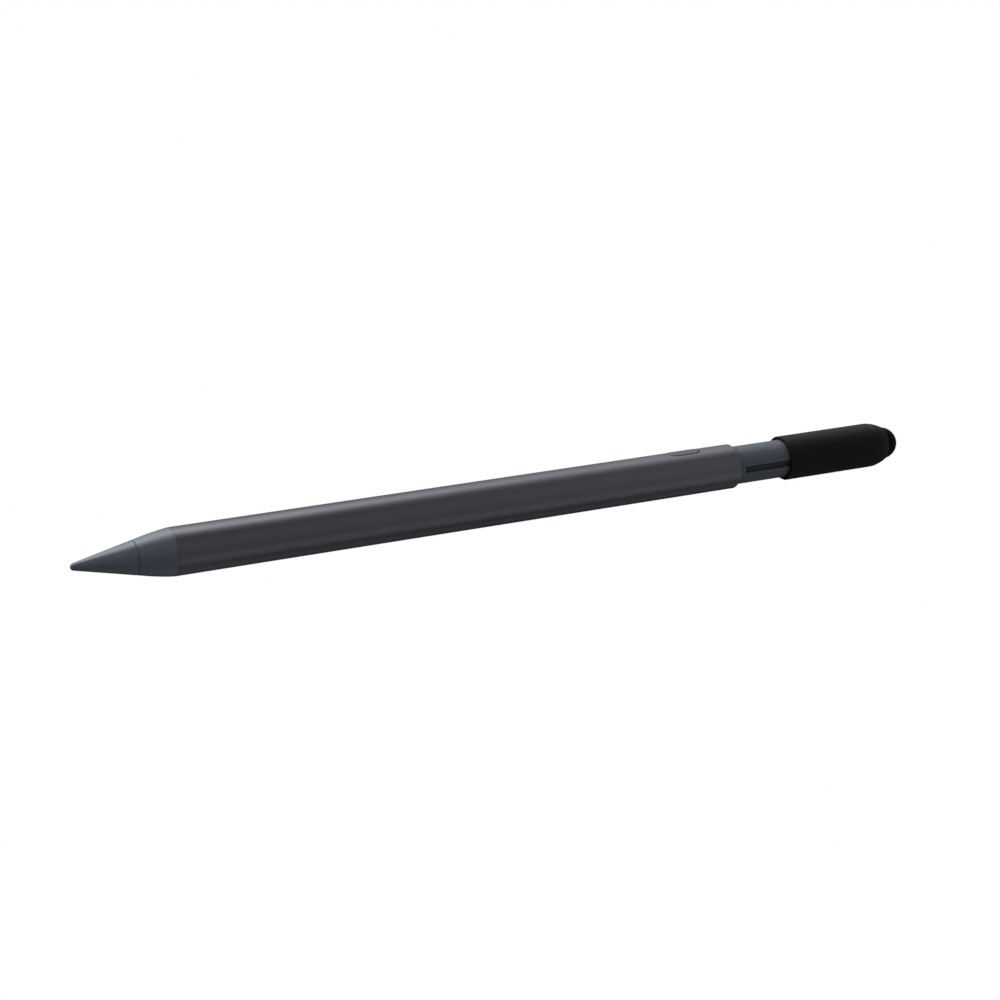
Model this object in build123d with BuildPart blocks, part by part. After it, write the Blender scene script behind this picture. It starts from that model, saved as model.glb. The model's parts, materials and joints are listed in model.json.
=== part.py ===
from build123d import *
import os
from math import asin, atan2, cos, hypot, radians, sin

os.makedirs("parts", exist_ok=True)

# A rechargeable tablet stylus that lies on its flat underside: nib towards -X, power button up.
# Lengths are in millimetres. A station is a distance along the pen, measured from the nib's tip.

# ---------------------------------------------------------------- driving dimensions

# lengths along the pen
nib_length = 11.7
collar_length = 6.8
barrel_length = 118.0
end_ring_length = 0.8
cap_sleeve_length = 21.4
cap_end_length = 3.3
dome_length = 3.66

# outside sections
barrel_diameter = 8.9
flat_depth = 0.42  # how far the flat underside cuts into the barrel's circle
nib_tip_radius = 0.7
nib_rear_radius = 3.16
collar_bulge = 0.1
cap_step = 0.05  # the cap stands this proud of the barrel
cap_rear_radius = 3.6
cap_end_bulge = 0.16
dome_radius = 3.27

# walls
barrel_wall = 0.5
barrel_lip = 0.8
barrel_edge_round = 0.6
cap_wall = 0.6
dome_wall = 0.8
dome_rim = 0.3  # width of the cap's rear rim round the dome

# fits
fit_clearance = 0.03  # between pieces that are pressed or glued together
slide_clearance = 0.075  # between the cap and the charging tube
chassis_clearance = 0.1
seam_gap = 0.08
assembly_gap = 0.3

# nose: replaceable nib on a threaded stud, with a force sensor behind it
thread_radius = 1.2
thread_clearance = 0.05
thread_length = 5.2
nib_contact_gap = 0.15
electrode_radius = 0.45
electrode_setback = 1.4
electrode_head_radius = 1.0
electrode_head_length = 0.5
seal_radius = 2.1
seal_thickness = 0.52
seal_clearance = 0.04
nose_floor = 1.3
nose_cavity_radius = 2.6
spigot_length = 7.5
stud_flange_radius = 2.0
stud_flange_length = 1.0
stud_pin_radius = 0.7
stud_pin_length = 5.6
stud_chamfer = 0.15
tilt_ring_wall = 0.25
tilt_ring_length = 3.0
tilt_ring_offset = 0.6
spring_radius = 1.0
spring_wire_size = 0.24  # square section
spring_turns = 6
guide_offset = 4.2
guide_length = 1.2
sensor_radius = 1.8
sensor_thickness = 0.7
sensor_board_thickness = 0.8

# carrier and boards
front_bay_length = 30.0
rear_bay_length = 32.0
bulkhead_thickness = 1.0
board_thickness = 0.8
board_edge_margin = 0.35
trough_depth = 0.8
trough_margin = 1.2
trough_end_margin = 3.0
magnet_length = 10.0
magnet_width = 3.0
magnet_gap = 0.6
magnet_clearance = 0.05
yoke_thickness = 0.3
web_thickness = 0.45
screw_radius = 0.5
screw_depth = 1.0
screw_head_radius = 0.9
screw_head_height = 0.4
screw_setback = 1.4
wire_radius = 0.25
tip_wire_reach = 3.25  # over the front board
flex_thickness = 0.12
link_flex_width = 3.0
link_flex_landing = 2.0
link_flex_ramp = 3.0
usb_flex_width = 2.0
usb_flex_landing = 1.5

# battery
battery_margin = 0.75  # chassis radius minus cell radius
battery_lift = 0.25
battery_clearance = 0.05
battery_end_gap = 1.2
battery_cap_length = 1.5
battery_crimp_depth = 0.12
battery_crimp_width = 0.5
lead_angle = 38.0  # degrees from the top, where the leads pass the bulkhead
lead_height = 1.2
lead_bend_radius = 0.4

# electronic components: length, width, height
controller_size = (5.0, 5.0, 0.9)
controller_offset = 8.5
radio_size = (4.0, 4.0, 0.8)
radio_offset = 14.5
crystal_size = (2.5, 2.0, 0.6)
crystal_offset = 18.4
power_chip_size = (3.0, 3.0, 0.8)
power_chip_offset = 17.0
boost_coil_size = (3.0, 3.0, 1.2)
boost_coil_offset = 11.5
antenna_size = (1.6, 3.6, 0.6)
antenna_offset = 6.5
capacitor_size = (1.0, 0.5, 0.5)
capacitor_pitch = 1.3
capacitor_count = 4
chip_clearance = 0.15

# power button, centred on the top of the barrel
button_setback = 11.1  # from the barrel's rear end
button_length = 6.85
button_width = 2.7
button_gap = 0.15
button_proud = 0.06
button_edge_round = 0.12
button_travel = 0.25
flange_margin = 0.5
flange_depth = 1.1  # from the bore's top down to the flange's underside
flange_clearance = 0.06
stem_radius = 0.8
holder_margin = 0.5
holder_clearance = 0.15
holder_floor_share = 0.66  # of the room between the switch and the button's pocket
holder_leg_thickness = 0.5
stop_clearance = 0.1

# tact switch
switch_size = (3.6, 2.6, 0.75)
switch_well_radius = 1.1
switch_well_depth = 0.4
switch_dome_radius = 1.0
switch_dome_height = 0.3
switch_dome_thickness = 0.08
plunger_radius = 0.55
plunger_length = 0.5
plunger_gap = 0.02

# charging tube and its receptacle
tube_overlap = 4.6  # length of tube inside the open cap
neck_wall = 0.55
ring_seat_length = 3.75
ring_neck_step = 0.525
port_length = 8.94
port_width = 3.26
port_clearance = 0.08
port_margin = 1.0
port_shell_wall = 0.25
port_recess = 0.05
port_headroom = 1.73  # above the receptacle, inside the tube
tongue_length = 6.7
tongue_thickness = 0.7
tongue_setback = 1.1
tongue_base_height = 1.2
contact_count = 12
contact_pitch = 0.5
contact_width = 0.25
contact_gap = 0.15
contact_thickness = 0.04
usb_board_length = 9.6
usb_board_width = 3.6
usb_board_thickness = 0.5
groove_width = 1.3
groove_depth = 0.45
tube_plug_radius = 2.55
tube_plug_length = 3.8
band_length = 0.8
band_wall = 0.55
band_clearance = 0.03
plug_head_length = 0.8
plug_head_step = 0.1

# cap
key_length = 2.0
key_clearance = 0.1
key_setback = 0.55
key_root = 0.3
cap_rim_round = 0.12
cap_spigot_length = 3.7
dome_seat_depth = 2.5
ferrule_radius = 2.1
ferrule_head_radius = 2.4
ferrule_head_length = 0.5
ferrule_reach = 2.8  # from the dome's seat to the ferrule's head
ferrule_stem_radius = 1.2
ferrule_stem_length = 3.2

# ---------------------------------------------------------------- derived sizes

# stations
collar_start = nib_length
barrel_start = collar_start + collar_length
barrel_end = barrel_start + barrel_length
tube_start = barrel_end + end_ring_length
cap_travel = port_length + 2 * port_clearance + 2 * port_margin
cap_start = tube_start + cap_travel
cap_end_start = cap_start + cap_sleeve_length
cap_rear = cap_end_start + cap_end_length
overall_length = cap_rear + dome_length
tip_x = -overall_length / 2

# sections; each flat is a distance below the pen's axis
barrel_radius = barrel_diameter / 2
axis_height = barrel_radius - flat_depth
bore_radius = barrel_radius - barrel_wall
bore_flat = axis_height - barrel_wall
cap_radius = barrel_radius + cap_step
cap_bore_radius = cap_radius - cap_wall
cap_bore_flat = axis_height - cap_wall
tube_radius = cap_bore_radius - slide_clearance
tube_flat = cap_bore_flat - slide_clearance
chassis_radius = bore_radius - chassis_clearance
chassis_flat = bore_flat - chassis_clearance
cut_reach = 2 * barrel_diameter  # well outside the pen's section

pen_axis = Axis((tip_x, 0, axis_height), (1, 0, 0))
profile_plane = Plane(origin=(tip_x, 0, axis_height), x_dir=(1, 0, 0), z_dir=(0, -1, 0))
on_top = (Align.CENTER, Align.CENTER, Align.MIN)
hanging = (Align.CENTER, Align.CENTER, Align.MAX)


def station(distance):
    # plane across the pen: local x is +Y and local y is +Z, from the pen's axis
    return Plane(origin=(tip_x + distance, 0, axis_height), x_dir=(0, 1, 0), z_dir=(1, 0, 0))


def level(distance, height):
    # horizontal plane at a height from the pen's axis, centred on a station
    return Plane.XY.offset(axis_height + height).shift_origin((tip_x + distance, 0, axis_height + height))


def point(distance, across, height):
    return (tip_x + distance, across, axis_height + height)


def turned(*points, mode=Mode.ADD):
    # body of revolution about the pen's axis from (station, radius) corners
    with BuildSketch(profile_plane) as outline:
        with BuildLine():
            Polyline(*points, close=True)
        make_face()
    revolve(outline.sketch, axis=pen_axis, mode=mode)


def tube_between(start, end, outer, inner=0.0, mode=Mode.ADD):
    turned((start, inner), (start, outer), (end, outer), (end, inner), mode=mode)


def flatted_bar(start, end, radius, flat, mode=Mode.ADD):
    # round bar with a flat underside
    with BuildSketch(station(start)) as section:
        Circle(radius)
        with Locations((0, -flat - radius)):
            Rectangle(cut_reach, 2 * radius, mode=Mode.SUBTRACT)
    extrude(section.sketch, amount=end - start, mode=mode)


def slot_prism(distance, bottom, top, length, width, mode=Mode.ADD):
    # upright prism with round ends, between two heights from the pen's axis
    with BuildSketch(level(distance, bottom)) as section:
        SlotOverall(length, width)
    extrude(section.sketch, amount=top - bottom, mode=mode)


def block(start, end, width, bottom, top, mode=Mode.ADD):
    with Locations(point((start + end) / 2, 0, bottom)):
        Box(end - start, width, top - bottom, align=on_top, mode=mode)


def chip(distance, height, size):
    with Locations(point(distance, 0, height)):
        Box(*size, align=on_top)


def round_wire(across, corners, bend_radius, radius):
    # round wire in an upright plane, through (station, height) corners
    wire_plane = Plane(origin=(tip_x, across, axis_height), x_dir=(1, 0, 0), z_dir=(0, -1, 0))
    with BuildLine(wire_plane) as route:
        FilletPolyline(*corners, radius=bend_radius)
    with BuildSketch(Plane(origin=route.line @ 0, z_dir=route.line % 0)) as section:
        Circle(radius)
    sweep(section.sketch, path=route.line)


def ribbon(corners, width, thickness):
    # flat cable centred on the pen, through (station, height) corners
    with BuildSketch(profile_plane) as section:
        with BuildLine() as route:
            Polyline(*corners)
        trace(route.line, line_width=thickness)
    extrude(section.sketch, amount=width / 2, both=True)


# ---------------------------------------------------------------- nib

nib_rear = nib_length - seam_gap
stud_front = nib_length - thread_length
socket_floor = stud_front - nib_contact_gap
cone_reach = hypot(nib_rear - nib_tip_radius, nib_rear_radius)
cone_angle = atan2(nib_rear_radius, nib_rear - nib_tip_radius) - asin(nib_tip_radius / cone_reach)
tangent_station = nib_tip_radius * (1 - sin(cone_angle))
tangent_radius = nib_tip_radius * cos(cone_angle)
seal_station = nib_rear - seal_thickness / 2 - seal_clearance
seal_well = seal_thickness + 2 * seal_clearance

with BuildPart() as nib_tip:
    with BuildSketch(profile_plane):
        with BuildLine():
            RadiusArc((0, 0), (tangent_station, tangent_radius), nib_tip_radius)
            Polyline(
                (tangent_station, tangent_radius), (nib_rear, nib_rear_radius), (nib_rear, 0), (0, 0)
            )
        make_face()
    revolve(axis=pen_axis)
    tube_between(socket_floor, nib_rear, thread_radius + thread_clearance, mode=Mode.SUBTRACT)
    tube_between(
        nib_rear - seal_well, nib_rear, seal_radius + seal_well / 2, seal_radius - seal_well / 2,
        mode=Mode.SUBTRACT,
    )
    tube_between(electrode_setback, socket_floor, electrode_radius, mode=Mode.SUBTRACT)
    tube_between(
        socket_floor - electrode_head_length, socket_floor, electrode_head_radius, mode=Mode.SUBTRACT
    )
nib_tip.part.label = "nib_tip"
export_step(nib_tip.part, "parts/nib_tip.step")

with BuildPart() as nib_electrode:
    tube_between(electrode_setback, socket_floor - electrode_head_length, electrode_radius)
    tube_between(socket_floor - electrode_head_length, socket_floor, electrode_head_radius)
nib_electrode.part.label = "nib_electrode"
export_step(nib_electrode.part, "parts/nib_electrode.step")

with BuildPart() as nib_seal:
    with BuildSketch(profile_plane):
        with Locations((seal_station, seal_radius)):
            Circle(seal_thickness / 2)
    revolve(axis=pen_axis)
nib_seal.part.label = "nib_seal"
export_step(nib_seal.part, "parts/nib_seal.step")

# ---------------------------------------------------------------- nose collar and tip sensing

nose_step = collar_start + nose_floor
spigot_end = barrel_start + spigot_length
flange_end = nose_step + stud_flange_length
pin_end = flange_end + stud_pin_length
guide_start = flange_end + guide_offset
spring_start = flange_end + spring_wire_size / 2
spring_end = guide_start - spring_wire_size / 2
sensor_start = pin_end + fit_clearance
sensor_board_start = sensor_start + sensor_thickness
sensor_board_end = sensor_board_start + sensor_board_thickness
collar_middle = ((collar_start + barrel_start) / 2, (nib_rear_radius + barrel_radius) / 2 + collar_bulge)

with BuildPart() as nose_collar:
    with BuildSketch(profile_plane):
        with BuildLine():
            ThreePointArc((collar_start, nib_rear_radius), collar_middle, (barrel_start, barrel_radius))
            Polyline(
                (barrel_start, barrel_radius), (barrel_start, 0), (collar_start, 0),
                (collar_start, nib_rear_radius),
            )
        make_face()
    revolve(axis=pen_axis)
    split(bisect_by=Plane.XY, keep=Keep.TOP)
    flatted_bar(barrel_start, spigot_end, bore_radius - fit_clearance, bore_flat - fit_clearance)
    tube_between(nose_step, spigot_end, nose_cavity_radius, mode=Mode.SUBTRACT)
    tube_between(collar_start, nose_step, thread_radius + thread_clearance, mode=Mode.SUBTRACT)
nose_collar.part.label = "nose_collar"
export_step(nose_collar.part, "parts/nose_collar.step")

with BuildPart() as thread_stud:
    tube_between(stud_front, nose_step, thread_radius)
    tube_between(nose_step, flange_end, stud_flange_radius)
    tube_between(flange_end, pin_end, stud_pin_radius)
    chamfer(thread_stud.edges().group_by(Axis.X)[0], stud_chamfer)
thread_stud.part.label = "thread_stud"
export_step(thread_stud.part, "parts/thread_stud.step")

with BuildPart() as tilt_ring:
    tilt_ring_start = flange_end + tilt_ring_offset
    tube_between(
        tilt_ring_start, tilt_ring_start + tilt_ring_length,
        nose_cavity_radius, nose_cavity_radius - tilt_ring_wall,
    )
tilt_ring.part.label = "tilt_ring"
export_step(tilt_ring.part, "parts/tilt_ring.step")

with BuildPart() as force_spring:
    spring_height = spring_end - spring_start
    with BuildLine() as coil:
        Helix(
            pitch=spring_height / spring_turns, height=spring_height, radius=spring_radius,
            center=point(spring_start, 0, 0), direction=(1, 0, 0),
        )
    with BuildSketch(Plane(origin=coil.line @ 0, z_dir=coil.line % 0)):
        Rectangle(spring_wire_size, spring_wire_size)
    sweep(path=coil.line, is_frenet=True)
force_spring.part.label = "force_spring"
export_step(force_spring.part, "parts/force_spring.step")

with BuildPart() as pin_guide:
    tube_between(
        guide_start, guide_start + guide_length,
        nose_cavity_radius - fit_clearance, stud_pin_radius + fit_clearance,
    )
pin_guide.part.label = "pin_guide"
export_step(pin_guide.part, "parts/pin_guide.step")

with BuildPart() as force_sensor:
    tube_between(sensor_start, sensor_board_start, sensor_radius)
force_sensor.part.label = "force_sensor"
export_step(force_sensor.part, "parts/force_sensor.step")

with BuildPart() as sensor_board:
    tube_between(sensor_board_start, sensor_board_end, nose_cavity_radius - fit_clearance)
sensor_board.part.label = "sensor_board"
export_step(sensor_board.part, "parts/sensor_board.step")

# ---------------------------------------------------------------- barrel

with BuildPart() as barrel:
    flatted_bar(barrel_start, barrel_end, barrel_radius, axis_height)
    flatted_bar(barrel_start, barrel_end - barrel_lip, bore_radius, bore_flat, mode=Mode.SUBTRACT)
    fillet(barrel.faces().sort_by(Axis.X)[-1].edges(), barrel_edge_round)
    flatted_bar(
        barrel_end - barrel_lip, barrel_end, tube_radius + fit_clearance / 2, tube_flat + fit_clearance / 2,
        mode=Mode.SUBTRACT,
    )
    slot_prism(
        barrel_end - button_setback, 0, 2 * barrel_radius,
        button_length + 2 * button_gap, button_width + 2 * button_gap, mode=Mode.SUBTRACT,
    )
barrel.part.label = "barrel"
export_step(barrel.part, "parts/barrel.step")

# ---------------------------------------------------------------- carrier inside the barrel

ring_seat_end = barrel_end - barrel_lip
ring_seat_start = ring_seat_end - ring_seat_length
chassis_start = spigot_end + assembly_gap
chassis_end = ring_seat_start - assembly_gap
front_bulkhead = chassis_start + front_bay_length
battery_bay_start = front_bulkhead + bulkhead_thickness
rear_bay_start = chassis_end - rear_bay_length
rear_bulkhead = rear_bay_start - bulkhead_thickness
battery_start = battery_bay_start + battery_end_gap
battery_end = rear_bulkhead - battery_end_gap
battery_radius = chassis_radius - battery_margin
lead_orbit = bore_radius - wire_radius - chassis_clearance
lead_y = lead_orbit * sin(radians(lead_angle))
lead_top = lead_orbit * cos(radians(lead_angle))
bulkhead_height = lead_top - wire_radius - chassis_clearance
board_top = board_thickness / 2
board_bottom = -board_thickness / 2
board_width = 2 * (chassis_radius - board_edge_margin)
trough_floor = board_bottom - trough_depth
pocket_top = trough_floor - web_thickness
magnet_top = pocket_top - yoke_thickness
magnet_pair_length = 2 * magnet_length + magnet_gap
bays = (
    (chassis_start, front_bulkhead),
    (rear_bay_start, chassis_end),
)
screw_stations = (
    chassis_start + screw_setback,
    front_bulkhead - screw_setback,
    rear_bay_start + screw_setback,
)

with BuildPart() as chassis:
    flatted_bar(chassis_start, chassis_end, chassis_radius, chassis_flat)
    for bay_start, bay_end in bays:
        block(bay_start, bay_end, cut_reach, board_bottom, barrel_radius, mode=Mode.SUBTRACT)
        block(
            bay_start + trough_end_margin, bay_end - trough_end_margin, board_width - 2 * trough_margin,
            trough_floor, board_bottom, mode=Mode.SUBTRACT,
        )
        pocket_middle = (bay_start + bay_end) / 2
        pocket_half = magnet_pair_length / 2 + magnet_clearance
        block(
            pocket_middle - pocket_half, pocket_middle + pocket_half, magnet_width + 2 * magnet_clearance,
            -barrel_radius, pocket_top, mode=Mode.SUBTRACT,
        )
    block(front_bulkhead, rear_bay_start, cut_reach, bulkhead_height, barrel_radius, mode=Mode.SUBTRACT)
    block(battery_bay_start, rear_bulkhead, cut_reach, battery_lift, barrel_radius, mode=Mode.SUBTRACT)
    with BuildSketch(station(battery_bay_start)):
        with Locations((0, battery_lift)):
            Circle(battery_radius + battery_clearance)
    extrude(amount=rear_bulkhead - battery_bay_start, mode=Mode.SUBTRACT)
    with Locations(*[point(place, 0, board_bottom) for place in screw_stations]):
        Hole(screw_radius, screw_depth)
chassis.part.label = "chassis"
export_step(chassis.part, "parts/chassis.step")


def circuit_board(start, end, screws):
    block(start, end, board_width, board_bottom, board_top)
    with Locations(*[point(place, 0, board_top) for place in screws]):
        Hole(screw_radius, board_thickness)


with BuildPart() as front_board:
    circuit_board(chassis_start, front_bulkhead - chassis_clearance, screw_stations[:2])
front_board.part.label = "front_board"
export_step(front_board.part, "parts/front_board.step")

with BuildPart() as rear_board:
    circuit_board(rear_bay_start + chassis_clearance, chassis_end, screw_stations[2:])
rear_board.part.label = "rear_board"
export_step(rear_board.part, "parts/rear_board.step")

with BuildPart() as board_screws:
    for place in screw_stations:
        with Locations(point(place, 0, board_top)):
            Cylinder(screw_head_radius, screw_head_height, align=on_top)
            Cylinder(screw_radius, board_thickness + screw_depth, align=hanging)
board_screws.part.label = "board_screws"
export_step(board_screws.part, "parts/board_screws.step")

with BuildPart() as bar_magnets:
    for bay_start, bay_end in bays:
        for side in (-1, 1):
            middle = (bay_start + bay_end) / 2 + side * (magnet_length + magnet_gap) / 2
            block(
                middle - magnet_length / 2, middle + magnet_length / 2, magnet_width,
                -chassis_flat, magnet_top,
            )
bar_magnets.part.label = "bar_magnets"
export_step(bar_magnets.part, "parts/bar_magnets.step")

with BuildPart() as magnet_yokes:
    for bay_start, bay_end in bays:
        middle = (bay_start + bay_end) / 2
        block(
            middle - magnet_pair_length / 2, middle + magnet_pair_length / 2, magnet_width,
            magnet_top, pocket_top,
        )
magnet_yokes.part.label = "magnet_yokes"
export_step(magnet_yokes.part, "parts/magnet_yokes.step")

with BuildPart() as battery_cell:
    with BuildSketch(station(battery_start)):
        with Locations((0, battery_lift)):
            Circle(battery_radius)
    extrude(amount=battery_end - battery_start)
    with BuildSketch(station(battery_start + battery_cap_length)):
        with Locations((0, battery_lift)):
            Circle(battery_radius)
            Circle(battery_radius - battery_crimp_depth, mode=Mode.SUBTRACT)
    extrude(amount=battery_crimp_width, mode=Mode.SUBTRACT)
battery_cell.part.label = "battery_cell"
export_step(battery_cell.part, "parts/battery_cell.step")

with BuildPart() as battery_leads:
    for side in (-1, 1):
        round_wire(
            side * lead_y,
            (
                (battery_start, lead_height),
                (battery_start - battery_end_gap / 2, lead_height),
                (battery_start - battery_end_gap / 2, lead_top),
                (front_bulkhead - battery_end_gap / 2, lead_top),
                (front_bulkhead - battery_end_gap / 2, board_top),
            ),
            lead_bend_radius, wire_radius,
        )
battery_leads.part.label = "battery_leads"
export_step(battery_leads.part, "parts/battery_leads.step")

with BuildPart() as tip_wire:
    with BuildSketch(station(sensor_board_end)):
        with Locations((sensor_radius, board_top + wire_radius)):
            Circle(wire_radius)
    extrude(amount=chassis_start + tip_wire_reach - sensor_board_end)
tip_wire.part.label = "tip_wire"
export_step(tip_wire.part, "parts/tip_wire.step")

with BuildPart() as link_flex:
    flex_low = board_top + flex_thickness / 2
    flex_high = battery_lift + battery_radius + battery_clearance + flex_thickness / 2
    ribbon(
        (
            (front_bulkhead - link_flex_ramp - link_flex_landing, flex_low),
            (front_bulkhead - link_flex_ramp, flex_low),
            (front_bulkhead + bulkhead_thickness / 2, flex_high),
            (rear_bay_start - bulkhead_thickness / 2, flex_high),
            (rear_bay_start + link_flex_ramp, flex_low),
            (rear_bay_start + link_flex_ramp + link_flex_landing, flex_low),
        ),
        link_flex_width, flex_thickness,
    )
link_flex.part.label = "link_flex"
export_step(link_flex.part, "parts/link_flex.step")

# ---------------------------------------------------------------- electronic components

capacitor_y = board_width / 2 - board_edge_margin - capacitor_size[1] / 2
chip_room = 2 * (capacitor_y - capacitor_size[1] / 2 - chip_clearance)


def between_capacitors(size):
    # a chip's size, no wider than the room between the two rows of capacitors
    length, width, height = size
    return (length, min(width, chip_room), height)


with BuildPart() as controller_chip:
    chip(rear_bay_start + controller_offset, board_top, between_capacitors(controller_size))
controller_chip.part.label = "controller_chip"
export_step(controller_chip.part, "parts/controller_chip.step")

with BuildPart() as radio_chip:
    chip(rear_bay_start + radio_offset, board_top, between_capacitors(radio_size))
radio_chip.part.label = "radio_chip"
export_step(radio_chip.part, "parts/radio_chip.step")

with BuildPart() as crystal:
    chip(rear_bay_start + crystal_offset, board_top, crystal_size)
crystal.part.label = "crystal"
export_step(crystal.part, "parts/crystal.step")

with BuildPart() as power_chip:
    chip(chassis_start + power_chip_offset, board_top, between_capacitors(power_chip_size))
power_chip.part.label = "power_chip"
export_step(power_chip.part, "parts/power_chip.step")

with BuildPart() as boost_coil:
    chip(chassis_start + boost_coil_offset, board_top, between_capacitors(boost_coil_size))
boost_coil.part.label = "boost_coil"
export_step(boost_coil.part, "parts/boost_coil.step")

with BuildPart() as chip_antenna:
    chip(chassis_start + antenna_offset, board_top, antenna_size)
chip_antenna.part.label = "chip_antenna"
export_step(chip_antenna.part, "parts/chip_antenna.step")

with BuildPart() as capacitors:
    bank_middles = (
        chassis_start + power_chip_offset,
        rear_bay_start + controller_offset,
        rear_bay_start + radio_offset,
    )
    for bank_middle in bank_middles:
        for index in range(capacitor_count):
            along = bank_middle + (index - (capacitor_count - 1) / 2) * capacitor_pitch
            with Locations(point(along, capacitor_y, board_top), point(along, -capacitor_y, board_top)):
                Box(*capacitor_size, align=on_top)
capacitors.part.label = "capacitors"
export_step(capacitors.part, "parts/capacitors.step")

# ---------------------------------------------------------------- power button and its switch

button_station = barrel_end - button_setback
switch_top = board_top + switch_size[2]
well_floor = switch_top - switch_well_depth
dome_top = well_floor + switch_dome_height
plunger_bottom = dome_top + plunger_gap
plunger_top = plunger_bottom + plunger_length
flange_bottom = bore_radius - flange_depth
pocket_floor = flange_bottom - button_travel - stop_clearance
holder_floor = holder_floor_share * (pocket_floor - switch_top)
holder_bottom = pocket_floor - holder_floor
flange_length = button_length + 2 * flange_margin
flange_width = button_width + 2 * flange_margin
pocket_length = flange_length + 2 * holder_clearance
pocket_width = flange_width + 2 * holder_clearance
holder_length = pocket_length + 2 * holder_margin
holder_width = pocket_width + 2 * holder_margin

with BuildPart() as tact_switch:
    chip(button_station, board_top, switch_size)
    with Locations(point(button_station, 0, switch_top)):
        Hole(switch_well_radius, switch_well_depth)
tact_switch.part.label = "tact_switch"
export_step(tact_switch.part, "parts/tact_switch.step")

with BuildPart() as switch_dome:
    dome_origin = point(button_station, 0, well_floor)
    with BuildSketch(Plane(origin=dome_origin, x_dir=(1, 0, 0), z_dir=(0, -1, 0))):
        with BuildLine():
            outer_rise = switch_dome_height
            inner_rise = switch_dome_height - switch_dome_thickness
            inner_radius = switch_dome_radius - switch_dome_thickness
            SagittaArc((0, outer_rise), (switch_dome_radius, 0), switch_dome_thickness)
            SagittaArc((0, inner_rise), (inner_radius, 0), switch_dome_thickness)
            Line((0, inner_rise), (0, outer_rise))
            Line((inner_radius, 0), (switch_dome_radius, 0))
        make_face()
    revolve(axis=Axis(dome_origin, (0, 0, 1)))
switch_dome.part.label = "switch_dome"
export_step(switch_dome.part, "parts/switch_dome.step")

with BuildPart() as switch_plunger:
    with Locations(point(button_station, 0, plunger_bottom)):
        Cylinder(plunger_radius, plunger_length, align=on_top)
switch_plunger.part.label = "switch_plunger"
export_step(switch_plunger.part, "parts/switch_plunger.step")


def rounded_off(radius):
    # trims whatever stands outside this radius from the pen's axis, round the button
    reach = holder_length / 2
    tube_between(button_station - reach, button_station + reach, cut_reach, radius, mode=Mode.SUBTRACT)


with BuildPart() as power_button:
    slot_prism(button_station, flange_bottom, 2 * barrel_radius, flange_length, flange_width)
    rounded_off(bore_radius - flange_clearance)
    slot_prism(button_station, flange_bottom, 2 * barrel_radius, button_length, button_width)
    rounded_off(barrel_radius + button_proud)
    fillet(power_button.faces().sort_by(Axis.Z)[-1].edges(), button_edge_round)
    with Locations(point(button_station, 0, plunger_top)):
        Cylinder(stem_radius, flange_bottom - plunger_top, align=on_top)
power_button.part.label = "power_button"
export_step(power_button.part, "parts/power_button.step")

with BuildPart() as button_holder:
    slot_prism(button_station, holder_bottom, flange_bottom, holder_length, holder_width)
    slot_prism(button_station, pocket_floor, flange_bottom, pocket_length, pocket_width, mode=Mode.SUBTRACT)
    leg_y = (holder_width - holder_leg_thickness) / 2
    leg_length = holder_length - holder_width
    with Locations(point(button_station, leg_y, board_top), point(button_station, -leg_y, board_top)):
        Box(leg_length, holder_leg_thickness, holder_bottom - board_top, align=on_top)
    with Locations(point(button_station, 0, pocket_floor)):
        Hole(stem_radius + holder_clearance, holder_floor)
    rounded_off(bore_radius - fit_clearance)
button_holder.part.label = "button_holder"
export_step(button_holder.part, "parts/button_holder.step")

# ---------------------------------------------------------------- end ring and charging tube

neck_radius = tube_radius - ring_neck_step
neck_bore = neck_radius - neck_wall
tube_end = cap_start + tube_overlap
port_station = tube_start + cap_travel / 2
port_mouth = -tube_flat + port_recess
port_top = tube_radius - port_headroom
port_slot_length = port_length + 2 * port_clearance
port_slot_width = port_width + 2 * port_clearance
usb_board_bottom = port_top + fit_clearance
usb_board_top = usb_board_bottom + usb_board_thickness
usb_board_front = port_station - usb_board_length / 2
usb_flex_height = usb_board_bottom + usb_board_thickness / 2
key_start = cap_start + key_setback
groove_start = key_start - cap_travel - key_clearance / 2
groove_end = key_start + key_length + key_clearance / 2
plug_start = tube_end - tube_plug_length

with BuildPart() as end_ring:
    flatted_bar(ring_seat_start, ring_seat_end, bore_radius - fit_clearance, bore_flat - fit_clearance)
    flatted_bar(ring_seat_end, tube_start, tube_radius, tube_flat)
    tube_between(ring_seat_start, tube_start, neck_radius, mode=Mode.SUBTRACT)
end_ring.part.label = "end_ring"
export_step(end_ring.part, "parts/end_ring.step")

with BuildPart() as charging_tube:
    tube_between(ring_seat_start, tube_start, neck_radius)
    flatted_bar(tube_start, tube_end, tube_radius, tube_flat)
    tube_between(ring_seat_start, tube_start, neck_bore, mode=Mode.SUBTRACT)
    slot_prism(port_station, -tube_radius, port_top, port_slot_length, port_slot_width, mode=Mode.SUBTRACT)
    block(
        usb_board_front - port_clearance, port_station + usb_board_length / 2 + port_clearance,
        usb_board_width + 2 * port_clearance, port_top - port_clearance, usb_board_top + port_clearance,
        mode=Mode.SUBTRACT,
    )
    block(
        tube_start - neck_wall, usb_board_front, usb_flex_width + 2 * port_clearance,
        usb_flex_height - usb_board_thickness / 2, usb_flex_height + usb_board_thickness / 2,
        mode=Mode.SUBTRACT,
    )
    tube_between(plug_start - assembly_gap, tube_end, tube_plug_radius + fit_clearance, mode=Mode.SUBTRACT)
    with BuildSketch(station(groove_start)):
        with Locations((tube_radius, 0), (-tube_radius, 0)):
            Rectangle(2 * groove_depth, groove_width)
    extrude(amount=groove_end - groove_start, mode=Mode.SUBTRACT)
charging_tube.part.label = "charging_tube"
export_step(charging_tube.part, "parts/charging_tube.step")

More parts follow.
